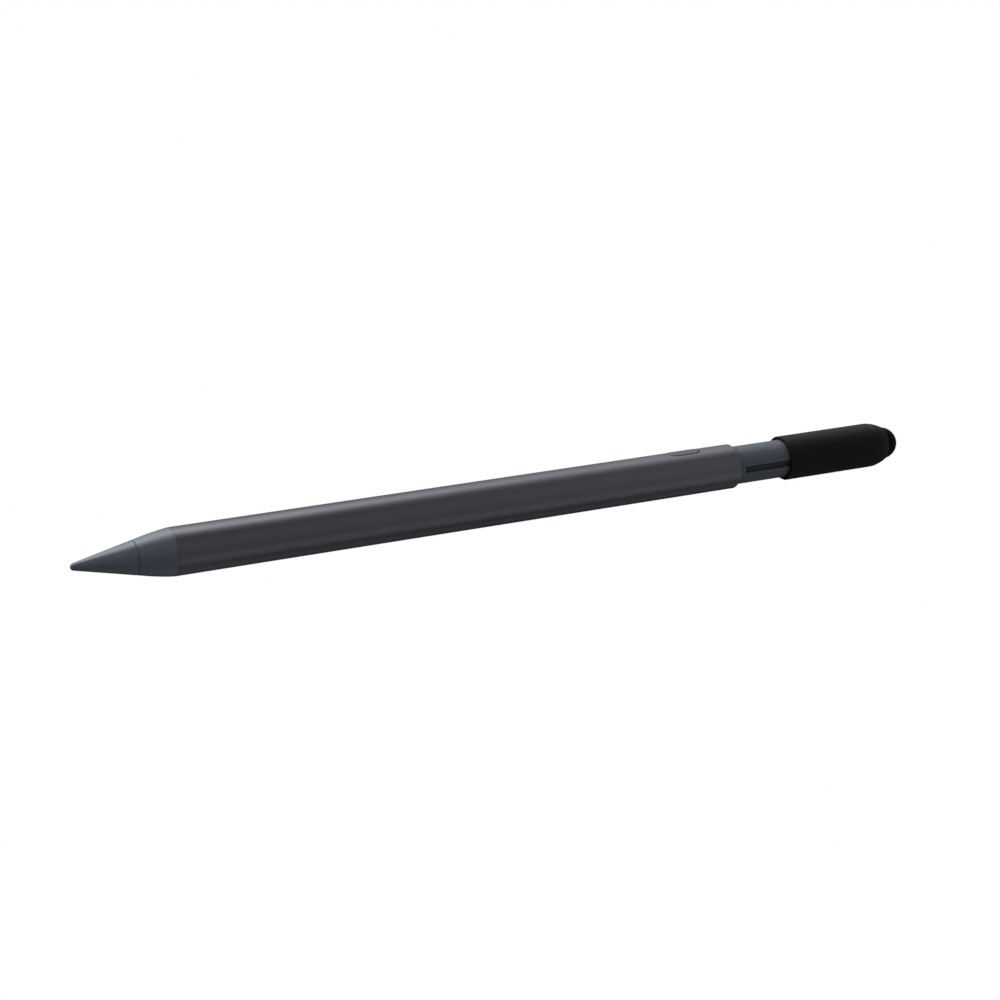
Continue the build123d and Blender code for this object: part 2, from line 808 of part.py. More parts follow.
with BuildPart() as usb_shell:
    slot_prism(port_station, port_mouth, port_top, port_length, port_width)
    slot_prism(
        port_station, port_mouth, port_top - port_shell_wall,
        port_length - 2 * port_shell_wall, port_width - 2 * port_shell_wall, mode=Mode.SUBTRACT,
    )
usb_shell.part.label = "usb_shell"
export_step(usb_shell.part, "parts/usb_shell.step")

with BuildPart() as usb_tongue:
    tongue_top = port_top - port_shell_wall
    slot_prism(
        port_station, tongue_top - tongue_base_height, tongue_top,
        port_length - 2 * port_shell_wall, port_width - 2 * port_shell_wall,
    )
    tongue_bottom = port_mouth + tongue_setback
    with Locations(point(port_station, 0, tongue_bottom)):
        Box(tongue_length, tongue_thickness, tongue_top - tongue_base_height - tongue_bottom, align=on_top)
usb_tongue.part.label = "usb_tongue"
export_step(usb_tongue.part, "parts/usb_tongue.step")

with BuildPart() as usb_contacts:
    contact_y = (tongue_thickness + contact_thickness) / 2
    contact_bottom = tongue_bottom + contact_pitch
    contact_length = tongue_top - tongue_base_height - contact_gap - contact_bottom
    for index in range(contact_count):
        along = port_station + (index - (contact_count - 1) / 2) * contact_pitch
        with Locations(point(along, contact_y, contact_bottom), point(along, -contact_y, contact_bottom)):
            Box(contact_width, contact_thickness, contact_length, align=on_top)
usb_contacts.part.label = "usb_contacts"
export_step(usb_contacts.part, "parts/usb_contacts.step")

with BuildPart() as usb_board:
    chip(port_station, usb_board_bottom, (usb_board_length, usb_board_width, usb_board_thickness))
usb_board.part.label = "usb_board"
export_step(usb_board.part, "parts/usb_board.step")

with BuildPart() as usb_flex:
    ribbon(
        (
            (chassis_end - usb_flex_landing, flex_low),
            (chassis_end, flex_low),
            (ring_seat_end, usb_flex_height),
            (usb_board_front, usb_flex_height),
        ),
        usb_flex_width, flex_thickness,
    )
usb_flex.part.label = "usb_flex"
export_step(usb_flex.part, "parts/usb_flex.step")

band_inner_radius = cap_bore_radius - band_clearance - band_wall
band_inner_flat = cap_bore_flat - band_clearance - band_wall
band_end = tube_end + band_length
plug_end = band_end + plug_head_length

with BuildPart() as tube_plug:
    tube_between(plug_start, tube_end, tube_plug_radius)
    flatted_bar(tube_end, band_end, band_inner_radius, band_inner_flat)
    flatted_bar(band_end, plug_end, tube_radius - plug_head_step, tube_flat - plug_head_step)
tube_plug.part.label = "tube_plug"
export_step(tube_plug.part, "parts/tube_plug.step")

with BuildPart() as friction_band:
    flatted_bar(tube_end, band_end, cap_bore_radius - band_clearance, cap_bore_flat - band_clearance)
    flatted_bar(tube_end, band_end, band_inner_radius, band_inner_flat, mode=Mode.SUBTRACT)
friction_band.part.label = "friction_band"
export_step(friction_band.part, "parts/friction_band.step")

# ---------------------------------------------------------------- sliding cap

key_top_y = cap_bore_radius + key_root
key_tip_y = tube_radius - groove_depth + key_clearance / 2
key_height = groove_width - 2 * key_clearance
dome_seat = cap_rear - dome_seat_depth
cap_spigot_start = cap_end_start - cap_spigot_length
dome_socket_radius = cap_rear_radius - dome_rim
ferrule_head_start = dome_seat + ferrule_reach
ferrule_head_end = ferrule_head_start + ferrule_head_length
dome_round_length = overall_length - ferrule_head_start
dome_hollow_radius = dome_radius - dome_wall


def guide_key_prisms(mode=Mode.ADD):
    with BuildSketch(station(key_start)) as key_section:
        with Locations(((key_top_y + key_tip_y) / 2, 0), (-(key_top_y + key_tip_y) / 2, 0)):
            Rectangle(key_top_y - key_tip_y, key_height)
    extrude(key_section.sketch, amount=key_length, mode=mode)


with BuildPart() as cap_sleeve:
    flatted_bar(cap_start, cap_end_start, cap_radius, axis_height)
    flatted_bar(cap_start, cap_end_start, cap_bore_radius, cap_bore_flat, mode=Mode.SUBTRACT)
    fillet(cap_sleeve.faces().sort_by(Axis.X)[0].edges(), cap_rim_round)
    guide_key_prisms(mode=Mode.SUBTRACT)
cap_sleeve.part.label = "cap_sleeve"
export_step(cap_sleeve.part, "parts/cap_sleeve.step")

with BuildPart() as guide_keys:
    guide_key_prisms()
guide_keys.part.label = "guide_keys"
export_step(guide_keys.part, "parts/guide_keys.step")

with BuildPart() as cap_end:
    with BuildSketch(profile_plane):
        with BuildLine():
            end_middle = (
                (cap_end_start + cap_rear) / 2,
                (cap_radius + cap_rear_radius) / 2 + cap_end_bulge,
            )
            ThreePointArc((cap_end_start, cap_radius), end_middle, (cap_rear, cap_rear_radius))
            Polyline(
                (cap_rear, cap_rear_radius), (cap_rear, 0), (cap_end_start, 0), (cap_end_start, cap_radius)
            )
        make_face()
    revolve(axis=pen_axis)
    split(bisect_by=Plane.XY, keep=Keep.TOP)
    flatted_bar(
        cap_spigot_start, cap_end_start, cap_bore_radius - fit_clearance, cap_bore_flat - fit_clearance
    )
    tube_between(dome_seat, cap_rear, dome_socket_radius, mode=Mode.SUBTRACT)
    tube_between(dome_seat - ferrule_stem_length, dome_seat, ferrule_stem_radius, mode=Mode.SUBTRACT)
cap_end.part.label = "cap_end"
export_step(cap_end.part, "parts/cap_end.step")

with BuildPart() as tip_ferrule:
    tube_between(dome_seat - ferrule_stem_length, dome_seat, ferrule_stem_radius)
    tube_between(dome_seat, ferrule_head_start, ferrule_radius)
    tube_between(ferrule_head_start, ferrule_head_end, ferrule_head_radius)
tip_ferrule.part.label = "tip_ferrule"
export_step(tip_ferrule.part, "parts/tip_ferrule.step")

with BuildPart() as rubber_dome:
    with BuildSketch(profile_plane):
        with BuildLine():
            Line((dome_seat, 0), (dome_seat, dome_radius))
            Line((dome_seat, dome_radius), (ferrule_head_start, dome_radius))
            EllipticalCenterArc(
                (ferrule_head_start, 0), dome_round_length, dome_radius, start_angle=0, arc_size=90
            )
            Line((overall_length, 0), (dome_seat, 0))
        make_face()
    revolve(axis=pen_axis)
    tube_between(dome_seat, ferrule_head_start, ferrule_radius, mode=Mode.SUBTRACT)
    with BuildSketch(profile_plane):
        with BuildLine():
            CenterArc((ferrule_head_start, 0), dome_hollow_radius, start_angle=0, arc_size=90)
            Polyline(
                (ferrule_head_start, dome_hollow_radius), (ferrule_head_start, 0),
                (ferrule_head_start + dome_hollow_radius, 0),
            )
        make_face()
    revolve(axis=pen_axis, mode=Mode.SUBTRACT)
rubber_dome.part.label = "rubber_dome"
export_step(rubber_dome.part, "parts/rubber_dome.step")
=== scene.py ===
import json
import math

import bmesh
import bpy
from mathutils import Matrix, Vector


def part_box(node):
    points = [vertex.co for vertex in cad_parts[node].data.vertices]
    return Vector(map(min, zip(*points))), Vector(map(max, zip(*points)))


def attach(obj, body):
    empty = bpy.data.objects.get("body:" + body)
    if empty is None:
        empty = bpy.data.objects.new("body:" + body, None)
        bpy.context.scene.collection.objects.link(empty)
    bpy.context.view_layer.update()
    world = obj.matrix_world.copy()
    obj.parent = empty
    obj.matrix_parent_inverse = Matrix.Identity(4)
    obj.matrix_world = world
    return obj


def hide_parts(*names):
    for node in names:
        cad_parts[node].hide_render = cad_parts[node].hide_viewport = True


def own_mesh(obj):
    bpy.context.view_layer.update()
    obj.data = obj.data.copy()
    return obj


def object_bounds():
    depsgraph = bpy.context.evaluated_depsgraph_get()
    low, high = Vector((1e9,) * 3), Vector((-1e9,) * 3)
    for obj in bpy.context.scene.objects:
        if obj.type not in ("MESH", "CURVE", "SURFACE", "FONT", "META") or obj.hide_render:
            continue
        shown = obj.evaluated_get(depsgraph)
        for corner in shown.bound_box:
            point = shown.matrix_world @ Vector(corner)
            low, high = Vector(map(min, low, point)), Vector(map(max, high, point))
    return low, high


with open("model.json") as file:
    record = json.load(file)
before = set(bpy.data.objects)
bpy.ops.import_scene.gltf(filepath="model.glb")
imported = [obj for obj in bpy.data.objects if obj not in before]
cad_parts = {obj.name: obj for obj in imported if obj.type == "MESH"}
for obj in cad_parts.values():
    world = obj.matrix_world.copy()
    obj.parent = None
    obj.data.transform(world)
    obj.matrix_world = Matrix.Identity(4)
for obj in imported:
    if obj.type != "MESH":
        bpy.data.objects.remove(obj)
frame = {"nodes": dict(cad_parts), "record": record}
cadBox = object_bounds()
nodes = frame["nodes"]
millimetre = 0.001

# the pen lies along X: its nib's tip is at the lowest X, and its axis is at the nib's middle height
tipX = cadBox[0].x
axisZ = sum(corner.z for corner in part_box("nib_tip")) / 2


def place(x, y, z):
    # mm from the nib's tip, along, across and up, to the frame's metres
    return Vector((tipX + x * millimetre, y * millimetre, axisZ + z * millimetre))


def span(node):
    # a node's stations, half width, and depth and height from the axis, in mm
    low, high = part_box(node)
    return {
        "start": (low.x - tipX) / millimetre, "end": (high.x - tipX) / millimetre,
        "radius": (high.y - low.y) / 2 / millimetre,
        "bottom": (low.z - axisZ) / millimetre, "top": (high.z - axisZ) / millimetre,
    }


# camera: three-quarter view from in front and above, off the nib

shot = {
    "offset": (-114.92, -380.18, 131.24),  # from the nib's tip, in mm
    "right": (0.8854, -0.4647, 0.0),
    "up": (0.1356, 0.2583, 0.9565),
    "lens": 85.0,  # mm
    "sensor": 36.0,  # mm
    "nearest": 10.0,  # mm, where the camera starts to see
}


def placeCamera():
    right, up = Vector(shot["right"]).normalized(), Vector(shot["up"]).normalized()
    back = right.cross(up).normalized()
    turn = Matrix((right, back.cross(right), back)).transposed().to_4x4()
    spot = Vector((tipX, 0, axisZ)) + Vector(shot["offset"]) * millimetre
    data = bpy.data.cameras.new("shotCamera")
    data.lens = shot["lens"]
    data.sensor_width = shot["sensor"]
    data.clip_start = shot["nearest"] * millimetre
    camera = bpy.data.objects.new("shotCamera", data)
    camera.matrix_world = Matrix.Translation(spot) @ turn
    bpy.context.scene.collection.objects.link(camera)
    bpy.context.scene.camera = camera


placeCamera()
print("camera placed")


# colours and nodes

def hexColour(code):
    # sRGB hex to the linear values that shaders use
    parts = [int(code[i:i + 2], 16) / 255 for i in (0, 2, 4)]
    return (*[p / 12.92 if p <= 0.04045 else ((p + 0.055) / 1.055) ** 2.4 for p in parts], 1.0)


def addNode(tree, kind, inputs=None, **settings):
    # one shader node with its settings, its plain inputs and its links
    node = tree.nodes.new("ShaderNode" + kind)
    for name, value in settings.items():
        setattr(node, name, value)
    for name, value in (inputs or {}).items():  # a name or a number
        if isinstance(value, bpy.types.NodeSocket):
            tree.links.new(value, node.inputs[name])
        else:
            node.inputs[name].default_value = value
    return node


def perMetre(size):
    # texture scale for a feature of this size in mm
    return 1 / (size * millimetre)


noiseDetail = {"cloud": 3.0, "grain": 2.0}


def makeFinish(name, look, pattern=None):
    # fine grain in the relief and the gloss, broad cloud in the colour, and a pattern of its own on top.
    # Sizes are in mm
    material = bpy.data.materials.new(name)
    material.use_nodes = True
    tree = material.node_tree
    shader = tree.nodes["Principled BSDF"]
    shader.inputs["Metallic"].default_value = look.get("metallic", 0.0)
    if "ior" in look:
        shader.inputs["IOR"].default_value = look["ior"]
    where = addNode(tree, "TexCoord").outputs["Object"]
    cloud, grain = [
        addNode(tree, "TexNoise", {"Vector": where, "Scale": perMetre(look[kind + "Size"]), "Detail": detail})
        for kind, detail in noiseDetail.items()
    ]
    first, second = [hexColour(code) for code in look["colours"]]
    colour = addNode(tree, "Mix", {0: cloud.outputs["Fac"], 6: first, 7: second}, data_type="RGBA").outputs[2]
    height = grain.outputs["Fac"]
    if pattern:
        colour, height = pattern(tree, where, colour, height)
    gloss = addNode(tree, "MapRange", {
        "Value": grain.outputs["Fac"], "To Min": look["roughness"][0], "To Max": look["roughness"][1],
    })
    relief = addNode(tree, "Bump", {
        "Height": height, "Strength": look["bump"], "Distance": look["depth"] * millimetre,
    })
    tree.links.new(colour, shader.inputs["Base Color"])
    tree.links.new(gloss.outputs["Result"], shader.inputs["Roughness"])
    tree.links.new(relief.outputs["Normal"], shader.inputs["Normal"])
    return material


# bead-blasted and anodised aluminium: a soft broad sheen with a faint sparkle
anodisedAluminium = makeFinish("anodisedAluminium", {
    "colours": ("67686e", "6f7076"), "metallic": 1.0, "roughness": (0.36, 0.44),
    "grainSize": 0.12, "cloudSize": 25.0, "bump": 0.15, "depth": 0.01,
})
# ABS with metallic paint: as grey as the barrel, a little smoother and darker
paintedAbs = makeFinish("paintedAbs", {
    "colours": ("5f6065", "66676c"), "metallic": 1.0, "roughness": (0.34, 0.42),
    "grainSize": 0.2, "cloudSize": 6.0, "bump": 0.1, "depth": 0.01,
})
# acetal with a metallic pigment, moulded in a finely etched tool: cool grey with a soft highlight
mouldedAcetal = makeFinish("mouldedAcetal", {
    "colours": ("646a72", "6c727b"), "metallic": 0.45, "roughness": (0.36, 0.44),
    "grainSize": 0.15, "cloudSize": 6.0, "bump": 0.1, "depth": 0.01,
})
# glass-filled nylon, moulded: blue-grey and slightly silky
mouldedNylon = makeFinish("mouldedNylon", {
    "colours": ("545b64", "5c636d"), "metallic": 0.27, "roughness": (0.46, 0.54),
    "grainSize": 0.2, "cloudSize": 5.0, "bump": 0.12, "depth": 0.01,
})
# the same nylon on the groove's faces: rougher, with no sheen, and darker as painted shade for the groove's
# recess
grooveShadeNylon = makeFinish("grooveShadeNylon", {
    "colours": ("34363c", "3b3d43"), "ior": 1.35, "roughness": (0.6, 0.7),
    "grainSize": 0.2, "cloudSize": 5.0, "bump": 0.2, "depth": 0.02,
})
# soft-touch painted ABS: near black, with a dim wide highlight
softTouchAbs = makeFinish("softTouchAbs", {
    "colours": ("0c0c0c", "101010"), "ior": 1.28, "roughness": (0.5, 0.6),
    "grainSize": 0.1, "cloudSize": 6.0, "bump": 0.15, "depth": 0.01,
})
# the same ABS where a sharp edge has been rubbed bare and shiny
rubbedAbs = makeFinish("rubbedAbs", {
    "colours": ("0c0c0c", "121212"), "ior": 1.5, "roughness": (0.16, 0.22),
    "grainSize": 0.1, "cloudSize": 2.0, "bump": 0.05, "depth": 0.005,
})
# conductive silicone, dusted with carbon: it drinks the light and stays blacker than the cap
siliconeRubber = makeFinish("siliconeRubber", {
    "colours": ("010101", "030303"), "ior": 1.16, "roughness": (0.5, 0.6),
    "grainSize": 0.1, "cloudSize": 2.0, "bump": 0.1, "depth": 0.01,
})
# glass-filled nylon of the carrier: dull black
mouldedCarrier = makeFinish("mouldedCarrier", {
    "colours": ("1a1a1c", "232326"), "ior": 1.53, "roughness": (0.5, 0.65),
    "grainSize": 0.15, "cloudSize": 4.0, "bump": 0.25, "depth": 0.02,
})


# wave scale and spacing of the pads in mm, and where on the wave the copper starts
trackShape = {"waveSize": 2.2, "padSpacing": 3.0, "waveStart": 0.72, "padSize": 0.3, "colour": "2a7a4a"}


def copperTracks(tree, where, colour, height):
    # straight copper runs under the mask, broken by bare pads: lighter bands, a little raised
    look = trackShape
    runs = addNode(tree, "TexWave", {"Vector": where, "Scale": perMetre(look["waveSize"]), "Distortion": 0.0},
                   wave_type="BANDS", bands_direction="Y", wave_profile="SAW")
    pads = addNode(tree, "TexVoronoi", {"Vector": where, "Scale": perMetre(look["padSpacing"])})
    line = addNode(tree, "Math", {0: runs.outputs["Fac"], 1: look["waveStart"]}, operation="GREATER_THAN")
    gap = addNode(tree, "Math", {0: pads.outputs["Distance"], 1: look["padSize"]}, operation="GREATER_THAN")
    track = addNode(tree, "Math", {0: line.outputs[0], 1: gap.outputs[0]}, operation="MULTIPLY")
    raised = addNode(tree, "Math", {0: track.outputs[0], 1: height}, operation="ADD")
    mix = addNode(tree, "Mix", {0: track.outputs[0], 6: colour, 7: hexColour(look["colour"])}, data_type="RGBA")
    return mix.outputs[2], raised.outputs[0]


# glass-epoxy board under green solder mask, with the copper showing through as paler runs
solderMask = makeFinish("solderMask", {
    "colours": ("0e4a26", "125c30"), "ior": 1.55, "roughness": (0.22, 0.32),
    "grainSize": 0.3, "cloudSize": 3.0, "bump": 0.3, "depth": 0.03,
}, copperTracks)
# moulded epoxy of chip packages: dull charcoal
chipEpoxy = makeFinish("chipEpoxy", {
    "colours": ("161618", "1d1d20"), "ior": 1.55, "roughness": (0.5, 0.65),
    "grainSize": 0.08, "cloudSize": 1.0, "bump": 0.2, "depth": 0.01,
})
# machined brass: warm and bright, with faint turning marks
machinedBrass = makeFinish("machinedBrass", {
    "colours": ("c9a24e", "d6b25c"), "metallic": 1.0, "roughness": (0.2, 0.32),
    "grainSize": 0.1, "cloudSize": 2.0, "bump": 0.1, "depth": 0.01,
})
# gold plate on contacts: deeper and smoother than brass
platedGold = makeFinish("platedGold", {
    "colours": ("e0b155", "ecc068"), "metallic": 1.0, "roughness": (0.15, 0.25),
    "grainSize": 0.1, "cloudSize": 1.0, "bump": 0.05, "depth": 0.005,
})
# drawn and plated steel: clean grey
platedSteel = makeFinish("platedSteel", {
    "colours": ("b9bac0", "c6c7cc"), "metallic": 1.0, "roughness": (0.22, 0.34),
    "grainSize": 0.1, "cloudSize": 2.0, "bump": 0.1, "depth": 0.01,
})
# nickel plate on sintered magnets: warm silver, slightly mottled
platedNickel = makeFinish("platedNickel", {
    "colours": ("b5b0a6", "c7c2b8"), "metallic": 1.0, "roughness": (0.25, 0.4),
    "grainSize": 0.3, "cloudSize": 1.5, "bump": 0.15, "depth": 0.01,
})
# tinned solder terminals: soft bright grey
tinnedCopper = makeFinish("tinnedCopper", {
    "colours": ("a9abb0", "bfc1c6"), "metallic": 1.0, "roughness": (0.35, 0.5),
    "grainSize": 0.1, "cloudSize": 0.5, "bump": 0.2, "depth": 0.01,
})
# bare glass-epoxy laminate at a board's cut edges: pale straw
cutLaminate = makeFinish("cutLaminate", {
    "colours": ("8f8a55", "a19b66"), "ior": 1.55, "roughness": (0.55, 0.7),
    "grainSize": 0.1, "cloudSize": 1.0, "bump": 0.3, "depth": 0.02,
})
# blue film shrunk on an aluminium can
shrinkFilm = makeFinish("shrinkFilm", {
    "colours": ("1f4f86", "255a96"), "ior": 1.55, "roughness": (0.2, 0.3),
    "grainSize": 0.5, "cloudSize": 8.0, "bump": 0.1, "depth": 0.02,
})
# amber polyimide film of flat cables
polyimideFilm = makeFinish("polyimideFilm", {
    "colours": ("8a4a12", "9c5616"), "ior": 1.6, "roughness": (0.2, 0.3),
    "grainSize": 0.2, "cloudSize": 2.0, "bump": 0.1, "depth": 0.01,
})


leadRed = "a3161a"


def redAndBlack(tree, where, colour, height):
    # one lead of the pair is red and the other black, by the side of the pen that it runs on
    side = addNode(tree, "SeparateXYZ", {"Vector": where}).outputs["Y"]
    left = addNode(tree, "Math", {0: side, 1: 0.0}, operation="GREATER_THAN")
    mix = addNode(tree, "Mix", {0: left.outputs[0], 6: colour, 7: hexColour(leadRed)}, data_type="RGBA")
    return mix.outputs[2], height


# silicone wire insulation: satin red and black
wireInsulation = makeFinish("wireInsulation", {
    "colours": ("121212", "1a1a1a"), "ior": 1.45, "roughness": (0.35, 0.45),
    "grainSize": 0.15, "cloudSize": 2.0, "bump": 0.1, "depth": 0.01,
}, redAndBlack)
# fired ceramic of sensors, coils and capacitors: warm tan and dense
firedCeramic = makeFinish("firedCeramic", {
    "colours": ("8b7355", "9a8162"), "ior": 1.65, "roughness": (0.35, 0.5),
    "grainSize": 0.08, "cloudSize": 0.6, "bump": 0.2, "depth": 0.01,
})
print("materials made")

finishes = {
    "nib_acetal": mouldedAcetal, "barrel_coat": anodisedAluminium, "tube_nylon": mouldedNylon,
    "cap_black": softTouchAbs, "button_plastic": paintedAbs, "dome_rubber": siliconeRubber,
    "seal_rubber": siliconeRubber, "carrier_plastic": mouldedCarrier, "board": solderMask,
    "chip_epoxy": chipEpoxy, "metal_can": platedSteel, "spring_steel": platedSteel,
    "magnet_nickel": platedNickel, "stud_brass": machinedBrass, "contact_gold": platedGold,
    "cell_can": shrinkFilm, "wire_film": wireInsulation, "flex_film": polyimideFilm,
    "ceramic": firedCeramic,
}
nodeSlots = {row["node"]: row["material_slot"] for row in frame["record"]["subparts"]}
nodeBodies = {node: body for body, names in frame["record"]["behaviour"]["bodies"].items() for node in names}

for node, slot in nodeSlots.items():
    mesh = nodes[node].data
    mesh.materials.clear()
    mesh.materials.append(finishes[slot])


# turned and moulded forms

ringSteps = {"turn": 180, "flat": 10, "corner": 7}
cornerShare = 0.49  # the most of a neighbouring side that a rounding may take
weld = {"turned": 2e-7, "cad": 1e-6, "thinnest": 1e-8, "cadThinnest": 1e-7}  # metres


def turnedRing(x, radius, cut, thread=None):
    # one turn round the pen's axis. cut is how deep the flat underside goes into the circle
    edge = math.acos(1 - cut / radius) if radius > 0 and cut > 0 else 0.0
    ring = []
    for step in range(ringSteps["turn"] + 1):
        angle = edge + (2 * math.pi - 2 * edge) * step / ringSteps["turn"]
        depth = radius
        if thread and radius == thread["radius"]:
            depth -= threadDepth(x, angle, thread)
        ring.append(place(x, depth * math.sin(angle), -depth * math.cos(angle)))
    first, last = ring[0], ring[-1]
    ring += [last.lerp(first, step / ringSteps["flat"]) for step in range(1, ringSteps["flat"])]
    return ring


def threadDepth(x, angle, thread):
    # right-hand V thread, fading out within a pitch of each end. The angle here starts at the bottom
    if not thread["start"] < x < thread["end"]:
        return 0.0
    turn = (x / thread["pitch"] - (angle - math.pi / 2) / (2 * math.pi)) % 1
    fade = min(1.0, (x - thread["start"]) / thread["pitch"], (thread["end"] - x) / thread["pitch"])
    return thread["depth"] * abs(2 * turn - 1) * fade


def threadRows(thread):
    # stations along a thread, fine enough for its flanks
    count = round((thread["end"] - thread["start"]) / thread["pitch"] * thread["rowsPerPitch"])
    return [
        (thread["start"] + (thread["end"] - thread["start"]) * row / count, thread["radius"], 0, 0)
        for row in range(count + 1)
    ]


def softCorners(corners, loop=False):
    # corners are (x, radius, cut, rounding); a corner with a rounding becomes an arc
    made = []
    for index, (x, radius, cut, rounding) in enumerate(corners):
        if not rounding or (not loop and index in (0, len(corners) - 1)):
            made.append((x, radius, cut))
            continue
        here = Vector((x, radius))
        before = Vector(corners[index - 1][:2]) - here
        after = Vector(corners[(index + 1) % len(corners)][:2]) - here
        half = before.angle(after) / 2
        reach = min(rounding / math.tan(half), cornerShare * before.length, cornerShare * after.length)
        toMiddle = (before.normalized() + after.normalized()).normalized() * reach / math.cos(half)
        first = before.normalized() * reach - toMiddle
        last = after.normalized() * reach - toMiddle
        for step in range(ringSteps["corner"] + 1):
            turned = first.slerp(last, step / ringSteps["corner"]).normalized()
            spot = here + toMiddle + turned * first.length
            made.append((spot.x, spot.y, cut))
    return made


def finishShape(shape, *itsFinishes):
    # a mesh from a shape under construction, with its finishes in order
    mesh = bpy.data.meshes.new("shape")
    shape.to_mesh(mesh)
    shape.free()
    for finish in itsFinishes:
        mesh.materials.append(finish)
    return mesh


def joinRings(rings, loop=False):
    # a skin over neighbouring rings; rings on the axis close to a point
    shape = bmesh.new()
    rows = [[shape.verts.new(point) for point in ring] for ring in rings]
    pairs = list(zip(rows, rows[1:]))
    if loop:
        pairs.append((rows[-1], rows[0]))
    for low, high in pairs:
        for index in range(len(low)):
            after = (index + 1) % len(low)
            shape.faces.new((low[index], low[after], high[after], high[index]))
    bmesh.ops.remove_doubles(shape, verts=shape.verts, dist=weld["turned"])
    bmesh.ops.dissolve_degenerate(shape, edges=shape.edges, dist=weld["thinnest"])
    bmesh.ops.recalc_face_normals(shape, faces=shape.faces)
    return finishShape(shape)


def turnedShape(corners, loop=False, thread=None):
    # the solid that a closed or open run of corners makes round the pen's axis
    return joinRings([turnedRing(*corner, thread) for corner in softCorners(corners, loop)], loop)


def looseObject(mesh, name="cutter"):
    # an object in the scene; cutters are taken away again
    thing = bpy.data.objects.new(name, mesh)
    bpy.context.scene.collection.objects.link(thing)
    return thing


def carve(mesh, *cutters):
    # the mesh with the cutters taken out of it
    piece = looseObject(mesh)
    tools = [looseObject(cutter) for cutter in cutters]
    for tool in tools:
        modifier = piece.modifiers.new("cut", "BOOLEAN")
        modifier.operation = "DIFFERENCE"
        modifier.solver = "EXACT"
        modifier.object = tool
    bpy.context.view_layer.update()
    cut = bpy.data.meshes.new_from_object(piece.evaluated_get(bpy.context.evaluated_depsgraph_get()))
    for thing in (piece, *tools):
        bpy.data.objects.remove(thing)
    return cut


bevelSteps = 3
turnedEdgeAngle, cadEdgeAngle = 20.0, 30.0  # degrees; only sharper edges than this are broken


def addPiece(name, mesh, node, edgeRound=0.0, edgeAngle=turnedEdgeAngle):
    # a finished piece that stands for a CAD node, rides with it and takes its finish
    slot = nodeSlots[node]
    mesh.name = name
    for face in mesh.polygons:
        face.use_smooth = True
    if not mesh.materials:
        mesh.materials.append(finishes[slot])
    piece = looseObject(mesh, name)
    if edgeRound:
        bevel = piece.modifiers.new("edges", "BEVEL")
        bevel.width = edgeRound * millimetre
        bevel.segments = bevelSteps
        bevel.limit_method = "ANGLE"
        bevel.angle_limit = math.radians(edgeAngle)
    normals = piece.modifiers.new("shading", "WEIGHTED_NORMAL")
    normals.keep_sharp = True
    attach(piece, nodeBodies[node])
    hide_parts(node)
    return piece


# nib, screwed on its stud

nibShape = {
    "tipRadius": 0.7, "tipSteps": 14, "rearRound": 0.06, "coneRows": 10,
    "sealMiddle": 2.1, "sealHalf": 0.3, "mouthChamfer": 0.12,
    "socketRadius": 1.25, "socketDepth": 5.27, "headRadius": 1.0, "headDepth": 0.5,
    "coreRadius": 0.45, "coreStart": 1.4, "plainFloor": 0.6, "plainMouth": 0.8,
}
threadShape = {"pitch": 0.45, "depth": 0.17, "rowsPerPitch": 10}


def makeNib():
    # a cone on a rounded point, with a seal's groove and a threaded socket in its rear face
    look, reach = nibShape, span("nib_tip")
    tip, length, radius = look["tipRadius"], reach["end"], reach["radius"]
    slope = math.atan2(radius, length - tip) - math.asin(tip / math.hypot(length - tip, radius))
    corners = []
    for step in range(look["tipSteps"] + 1):
        angle = (math.pi / 2 - slope) * step / look["tipSteps"]
        corners.append((tip * (1 - math.cos(angle)), tip * math.sin(angle), 0, 0))
    sealOuter, sealInner = look["sealMiddle"] + look["sealHalf"], look["sealMiddle"] - look["sealHalf"]
    sealFloor = length - 2 * look["sealHalf"]
    floor = length - look["socketDepth"]
    thread = dict(threadShape, radius=look["socketRadius"], start=floor + look["plainFloor"],
                  end=length - look["plainMouth"])
    coneX, coneRadius = corners[-1][:2]
    for row in range(1, look["coneRows"]):
        share = row / look["coneRows"]
        corners.append((coneX + (length - coneX) * share, coneRadius + (radius - coneRadius) * share, 0, 0))
    corners += [
        (length, radius, 0, look["rearRound"]), (length, sealOuter, 0, 0), (sealFloor, sealOuter, 0, 0),
        (sealFloor, sealInner, 0, 0), (length, sealInner, 0, 0),
        (length, look["socketRadius"] + look["mouthChamfer"], 0, 0),
        (length - look["mouthChamfer"], look["socketRadius"], 0, 0),
        *reversed(threadRows(thread)),
        (floor, look["socketRadius"], 0, 0), (floor, look["headRadius"], 0, 0),
        (floor - look["headDepth"], look["headRadius"], 0, 0),
        (floor - look["headDepth"], look["coreRadius"], 0, 0),
        (look["coreStart"], look["coreRadius"], 0, 0), (look["coreStart"], 0, 0, 0),
    ]
    addPiece("nib", turnedShape(corners, thread=thread), "nib_tip")


studShape = {
    "radius": 1.2, "chamfer": 0.15, "flangeRadius": 2.0, "flangeStart": 13.0, "flangeEnd": 14.0,
    "pinRadius": 0.7, "edge": 0.06, "plainNeck": 0.8,
}


def makeStud():
    # the nib's thread, then a flange that the nose holds, then a plain pin
    look, reach = studShape, span("thread_stud")
    thread = dict(threadShape, radius=look["radius"], start=reach["start"] + look["chamfer"],
                  end=look["flangeStart"] - look["plainNeck"])
    corners = [
        (reach["start"], 0, 0, 0), (reach["start"], look["radius"] - look["chamfer"], 0, 0),
        *threadRows(thread),
        (look["flangeStart"], look["radius"], 0, 0),
        (look["flangeStart"], look["flangeRadius"], 0, look["edge"]),
        (look["flangeEnd"], look["flangeRadius"], 0, look["edge"]),
        (look["flangeEnd"], look["pinRadius"], 0, 0),
        (reach["end"], look["pinRadius"], 0, look["edge"]), (reach["end"], 0, 0, 0),
    ]
    addPiece("threadedStud", turnedShape(corners, thread=thread), "thread_stud")


